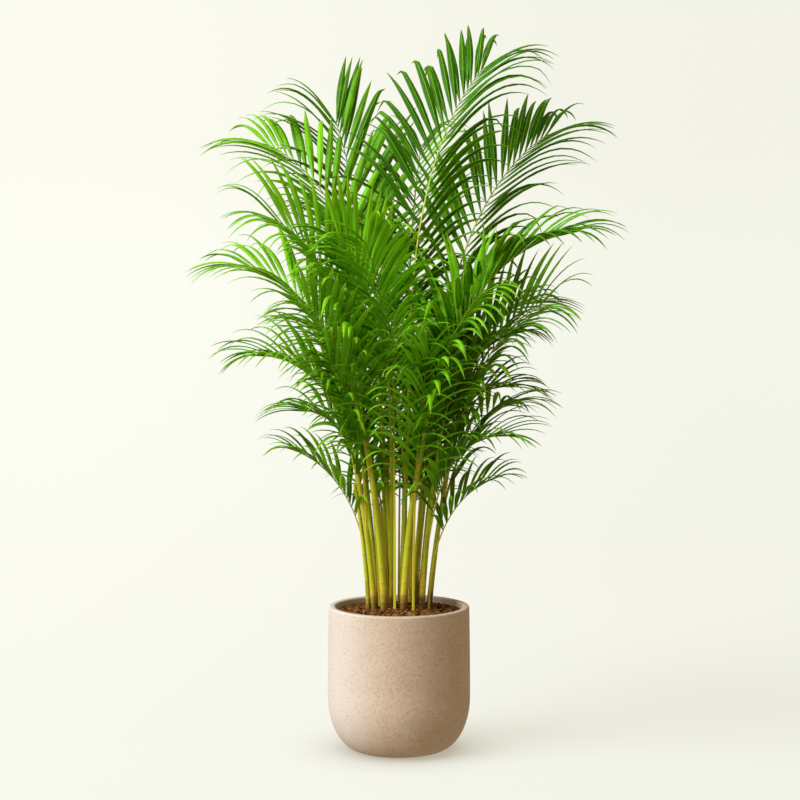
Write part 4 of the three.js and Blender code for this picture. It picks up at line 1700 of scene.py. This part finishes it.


# The last column is each frond's green: partly its own tone and partly painted light and shade,
# higher on the front and left fronds and lower on the right, top and back ones.
FRONDS = [
    Frond("left_top", "back_middle", 0.72, 130, (12, 26), 0.790, 0.3, 0.270, 12, -22, 0.15),
    Frond("left_upper", "middle_left", 1, 150, (4, 68), 0.705, 0.25, 0.245, 12, -28, 0.5),
    Frond("left_bright", "left_front", 1, 205, (6, 61), 0.470, 0.2, 0.230, 11, -50, 0.85),
    Frond("left_middle", "back_left", 1, 165, (10, 76), 0.485, 0.2, 0.220, 11, -22, 0.65),
    Frond("left_back", "back_left_inner", 0.7, 140, (12, 66), 0.390, 0.25, 0.200, 9, -20, 0.6),
    Frond("left_lower", "left_outer", 0.85, 195, (10, 82), 0.340, 0.2, 0.205, 9, -16, 0.45),
    Frond("left_side", "left_edge", 1, 170, (2, 84), 0.200, 0.15, 0.185, 7, -16, 0.4),
    Frond("left_low", (-0.062, 0.026), 0, 190, (0, 66), 0.390, 0.56, 0.150, 6, -14, 0.4),
    Frond("right_top", "middle", 1, 45, (0, 49), 0.820, 0.3, 0.265, 14, 20, -0.15),
    Frond("right_upper", "middle_right", 1, 30, (6, 60), 0.735, 0.25, 0.250, 13, 28, -0.1),
    Frond("right_middle", "right_front", 1, -25, (12, 77), 0.560, 0.25, 0.235, 11, 16, 0.0),
    Frond("right_inner", "back_right", 1, 20, (8, 80), 0.395, 0.2, 0.210, 10, 22, -0.05),
    Frond("right_lower", "right_outer", 1, -15, (6, 68), 0.335, 0.2, 0.200, 9, 24, 0.25),
    Frond("right_side", "middle_right", 0.68, 5, (8, 86), 0.290, 0.3, 0.190, 8, 18, 0.15),
    Frond("right_under", "right_outer", 0.6, -20, (10, 82), 0.255, 0.2, 0.185, 8, 18, 0.2),
    Frond("right_low", (0.062, -0.002), 0, -10, (0, 68), 0.330, 0.58, 0.135, 6, 14, 0.3),
    Frond("front_left", "middle", 0.78, 205, (6, 38), 0.500, 0.44, 0.215, 9, -100, 0.85),
    Frond("front_right", "right_front", 0.72, 318, (9, 50), 0.470, 0.44, 0.205, 9, 70, 0.6),
    Frond("front_centre", "centre", 1, 245, (3, 40), 0.430, 0.42, 0.210, 9, -150, 0.8),
    Frond("front_low", "left_front", 0.7, 225, (12, 52), 0.400, 0.42, 0.180, 8, -115, 0.6),
    Frond("front_high", "middle_left", 0.75, 120, (9, 32), 0.480, 0.42, 0.220, 10, -25, 0.85),
    Frond("front_outer", "right_edge", 1, 330, (14, 64), 0.420, 0.25, 0.205, 9, 60, 0.35),
    Frond("front_corner", "left_outer", 0.5, 235, (4, 48), 0.400, 0.44, 0.175, 8, -120, 0.6),
    Frond("back_left", "back_left_inner", 1, 112, (9, 75), 0.560, 0.25, 0.215, 9, 0, 0.3),
    Frond("back_high", "back_middle", 1, 80, (6, 45), 0.640, 0.3, 0.225, 10, 0, 0.3),
    Frond("back_centre", "back_left", 0.74, 100, (16, 85), 0.440, 0.25, 0.205, 7, 0, 0.25),
    Frond("back_right", "back_right", 0.7, 62, (18, 80), 0.450, 0.25, 0.210, 8, 0, 0.25),
    Frond("back_low", "right_edge", 0.68, 45, (18, 90), 0.330, 0.25, 0.190, 7, 0, 0.25),
    Frond("front_middle", (-0.009, -0.022), 0, 265, (0, 20), 0.600, 0.55, 0.190, 9, 180, 0.9),
    Frond("front_thin", (0.030, -0.036), 0, 290, (0, 26), 0.560, 0.52, 0.180, 9, 170, 0.8),
    Frond("back_inner", (0.026, 0.048), 0, 95, (0, 55), 0.700, 0.42, 0.210, 8, 0, 0.1),
    Frond("back_under", "back_left_inner", 0.45, 80, (8, 75), 0.450, 0.3, 0.205, 8, 0, 0.15),
]


@dataclass(frozen=True)
class Undergrowth:
    """Young shoots that stand close among the canes, shorter than the fronds.

    Attributes:
        count: how many there are.
        width, depth: the range of their feet in X and in Y.
        middle: the place in Y that they lean away from.
        stray: how far the side they lean to strays from straight away, in degrees.
        foot_lean, lean: the ranges of their lean at the foot and at the tip.
        turn: the range of their twist.
        length: the range of their lengths outside the soil.
        bare: the share of a stalk with no leaflets.
        leaf: the range of their longest leaflets.
        pairs, glow: as in Frond.
        seed: picks the shoots.
    """

    count: int = 13
    width: tuple[float, float] = (-0.045, 0.050)
    depth: tuple[float, float] = (0.012, 0.078)
    middle: float = 0.03
    stray: float = 25.0
    foot_lean: tuple[float, float] = (0.0, 4.0)
    lean: tuple[float, float] = (14.0, 42.0)
    turn: tuple[float, float] = (-70.0, 70.0)
    length: tuple[float, float] = (0.44, 0.60)
    bare: float = 0.5
    leaf: tuple[float, float] = (0.12, 0.17)
    pairs: int = 7
    tone_and_painted_light: tuple[float, float] = (0.2, 0.8)
    seed: int = 23

    def shoots(self, random: np.random.Generator) -> list[Frond]:
        """Picks each shoot's foot, lean, size and colour.

        Args:
            random: draws them.

        Returns:
            The shoots.
        """
        made = []
        for number in range(self.count):
            x, y = random.uniform(*self.width), random.uniform(*self.depth)
            side = math.degrees(math.atan2(y - self.middle, x))
            side += random.uniform(-self.stray, self.stray)
            lean = (random.uniform(*self.foot_lean), random.uniform(*self.lean))
            length, leaf = random.uniform(*self.length), random.uniform(*self.leaf)
            twist = (random.uniform(*self.turn), random.uniform(*self.tone_and_painted_light))
            place = (f"shoot_{number}", (x, y), 0.0, side, lean)
            made.append(Frond(*place, length, self.bare, leaf, self.pairs, *twist))
        return made

    def build(self, soil: Soil, materials: Sequence[bpy.types.Material]) -> bpy.types.Object:
        """Makes all the shoots as one piece.

        Args:
            soil: the soil they stand in.
            materials: the materials of a frond's parts, by number.

        Returns:
            The piece.
        """
        random = np.random.default_rng(self.seed)
        skin = Skin()
        for shoot in self.shoots(random):
            shoot.grow(soil, {}, skin, random)
        return fitted(skin.piece("young_shoots", materials))


# ---- Studio -------------------------------------------------------------------------------------


@dataclass
class Studio:
    """Seamless paper, soft lights and the camera.

    Attributes:
        eye, target, lens: the camera's place, the point it looks at and its focal length in mm.
        front, back: where in Y the paper starts and where it starts to curve up.
        curve, wide, tall: the curve's radius, half the paper's width and how high it reaches.
        reach: the radius of the pale dome beyond it.
        sun, sun_colour, sun_angle, sun_place: the key light, and where it shines from.
        sky, sky_colour: the strength and the colour of the light from all round.
        paper: the paper's finish.
    """

    eye: tuple[float, float, float] = (0.002, -4.0, 0.97)
    target: tuple[float, float, float] = (0.002, 0.0, 0.740)
    lens: float = 85.77
    front: float = -7.0
    back: float = 3.5
    curve: float = 1.6
    wide: float = 9.0
    tall: float = 7.0
    reach: float = 30.0
    sun: float = 4.8
    sun_colour: Colour = (0.96, 1.0, 1.0)
    sun_angle: float = 46.0
    sun_place: tuple[float, float, float] = (-3.3, -1.75, 2.9)
    sky: float = 0.46
    sky_colour: Colour = (1.0, 0.80, 0.53)
    paper: PaperFinish = PaperFinish()

    CURVE_STEPS = 24
    DOME_STEPS = 33
    DOME_SIDES = 64

    def build(self) -> None:
        """Sets up the paper, the dome, the lights and the camera."""
        self._floor()
        self._surround()
        self._sun()
        self._world()
        self._camera()

    def _floor(self) -> None:
        """A strip of paper that lies flat, then curves up behind: a quarter circle, then a wall."""
        turn = np.linspace(0, np.pi / 2, self.CURVE_STEPS)
        bent = self.back + self.curve * np.sin(turn)
        y = np.concatenate([[self.front], bent, [self.back + self.curve]])
        z = np.concatenate([[0], self.curve * (1 - np.cos(turn)), [self.tall]])
        x = np.array([self.wide, -self.wide])
        points = np.stack(np.broadcast_arrays(x, y[:, None], z[:, None]), axis=-1)
        i = 2 * np.arange(len(y) - 1)
        skin = Skin()
        skin.add(points, [np.stack([i, i + 2, i + 3, i + 1], axis=-1)])
        paper = skin.piece("studio_paper", [self.paper.material()])
        paper.visible_diffuse = paper.visible_glossy = False

    def _surround(self) -> None:
        """A pale dome beyond the paper, for the views from other sides, which no light meets."""
        turn = np.linspace(0, np.pi, self.DOME_STEPS)
        radius, height = self.reach * np.sin(turn), -self.reach * np.cos(turn)
        points, faces = turned_profile(radius, height, self.DOME_SIDES)
        skin = Skin()
        skin.add(points, [group[:, ::-1] for group in faces])
        dome = skin.piece("studio_surround", [self.paper.surround()])
        dome.visible_diffuse = dome.visible_glossy = dome.visible_transmission = False
        dome.visible_shadow = False

    def _sun(self) -> None:
        """Adds the key light, as soft as a large window, from the upper left in front."""
        lamp = bpy.data.lights.new("key", "SUN")
        lamp.energy, lamp.color = self.sun, self.sun_colour
        lamp.angle = math.radians(self.sun_angle)
        self._aim(bpy.data.objects.new("key", lamp), self.sun_place, (0, 0, 0))

    def _aim(
        self, holder: bpy.types.Object, place: Sequence[float], target: Sequence[float]
    ) -> None:
        """Places an object and turns it to face a point.

        Args:
            holder: the object.
            place: where it goes.
            target: the point.
        """
        holder.location = place
        way = Vector(target) - Vector(place)
        holder.rotation_euler = way.to_track_quat("-Z", "Y").to_euler()
        bpy.context.scene.collection.objects.link(holder)

    def _world(self) -> None:
        """Adds the warm light from all round."""
        world = bpy.data.worlds.new("studio")
        world.use_nodes = True
        sky = world.node_tree.nodes["Background"]
        sky.inputs["Color"].default_value = (*self.sky_colour, 1.0)
        sky.inputs["Strength"].default_value = self.sky
        bpy.context.scene.world = world

    def _camera(self) -> None:
        """Adds the camera, a long lens that looks slightly down from in front."""
        lens = bpy.data.cameras.new("camera")
        lens.lens = self.lens
        camera = bpy.data.objects.new("camera", lens)
        self._aim(camera, self.eye, self.target)
        bpy.context.scene.camera = camera
        bpy.context.scene.view_settings.view_transform = "Standard"


# ---- The whole plant ----------------------------------------------------------------------------


def report(pieces: Sequence[bpy.types.Object]) -> None:
    """Logs each piece's name and how many faces it has."""
    for piece in pieces:
        LOG.info("%s: %d faces", piece.name, len(piece.data.polygons))


def main() -> None:
    """Builds the studio, the planter, the soil, the canes, the fronds and the shoots, in order."""
    logging.basicConfig(level=logging.INFO, format="%(message)s")
    Studio().build()
    report([Planter().build()])
    soil = Soil()
    report(soil.build())
    random = np.random.default_rng(SEED)
    skin = CaneFinish().material()
    report([cane.build(soil, skin, random) for cane in CANES])
    canes = {cane.name: cane for cane in CANES}
    green = [StalkFinish().material(), BladeFinish().material()]
    report([frond.build(soil, canes, green, random) for frond in FRONDS])
    report([Undergrowth().build(soil, green)])


if __name__ == "__main__":
    main()
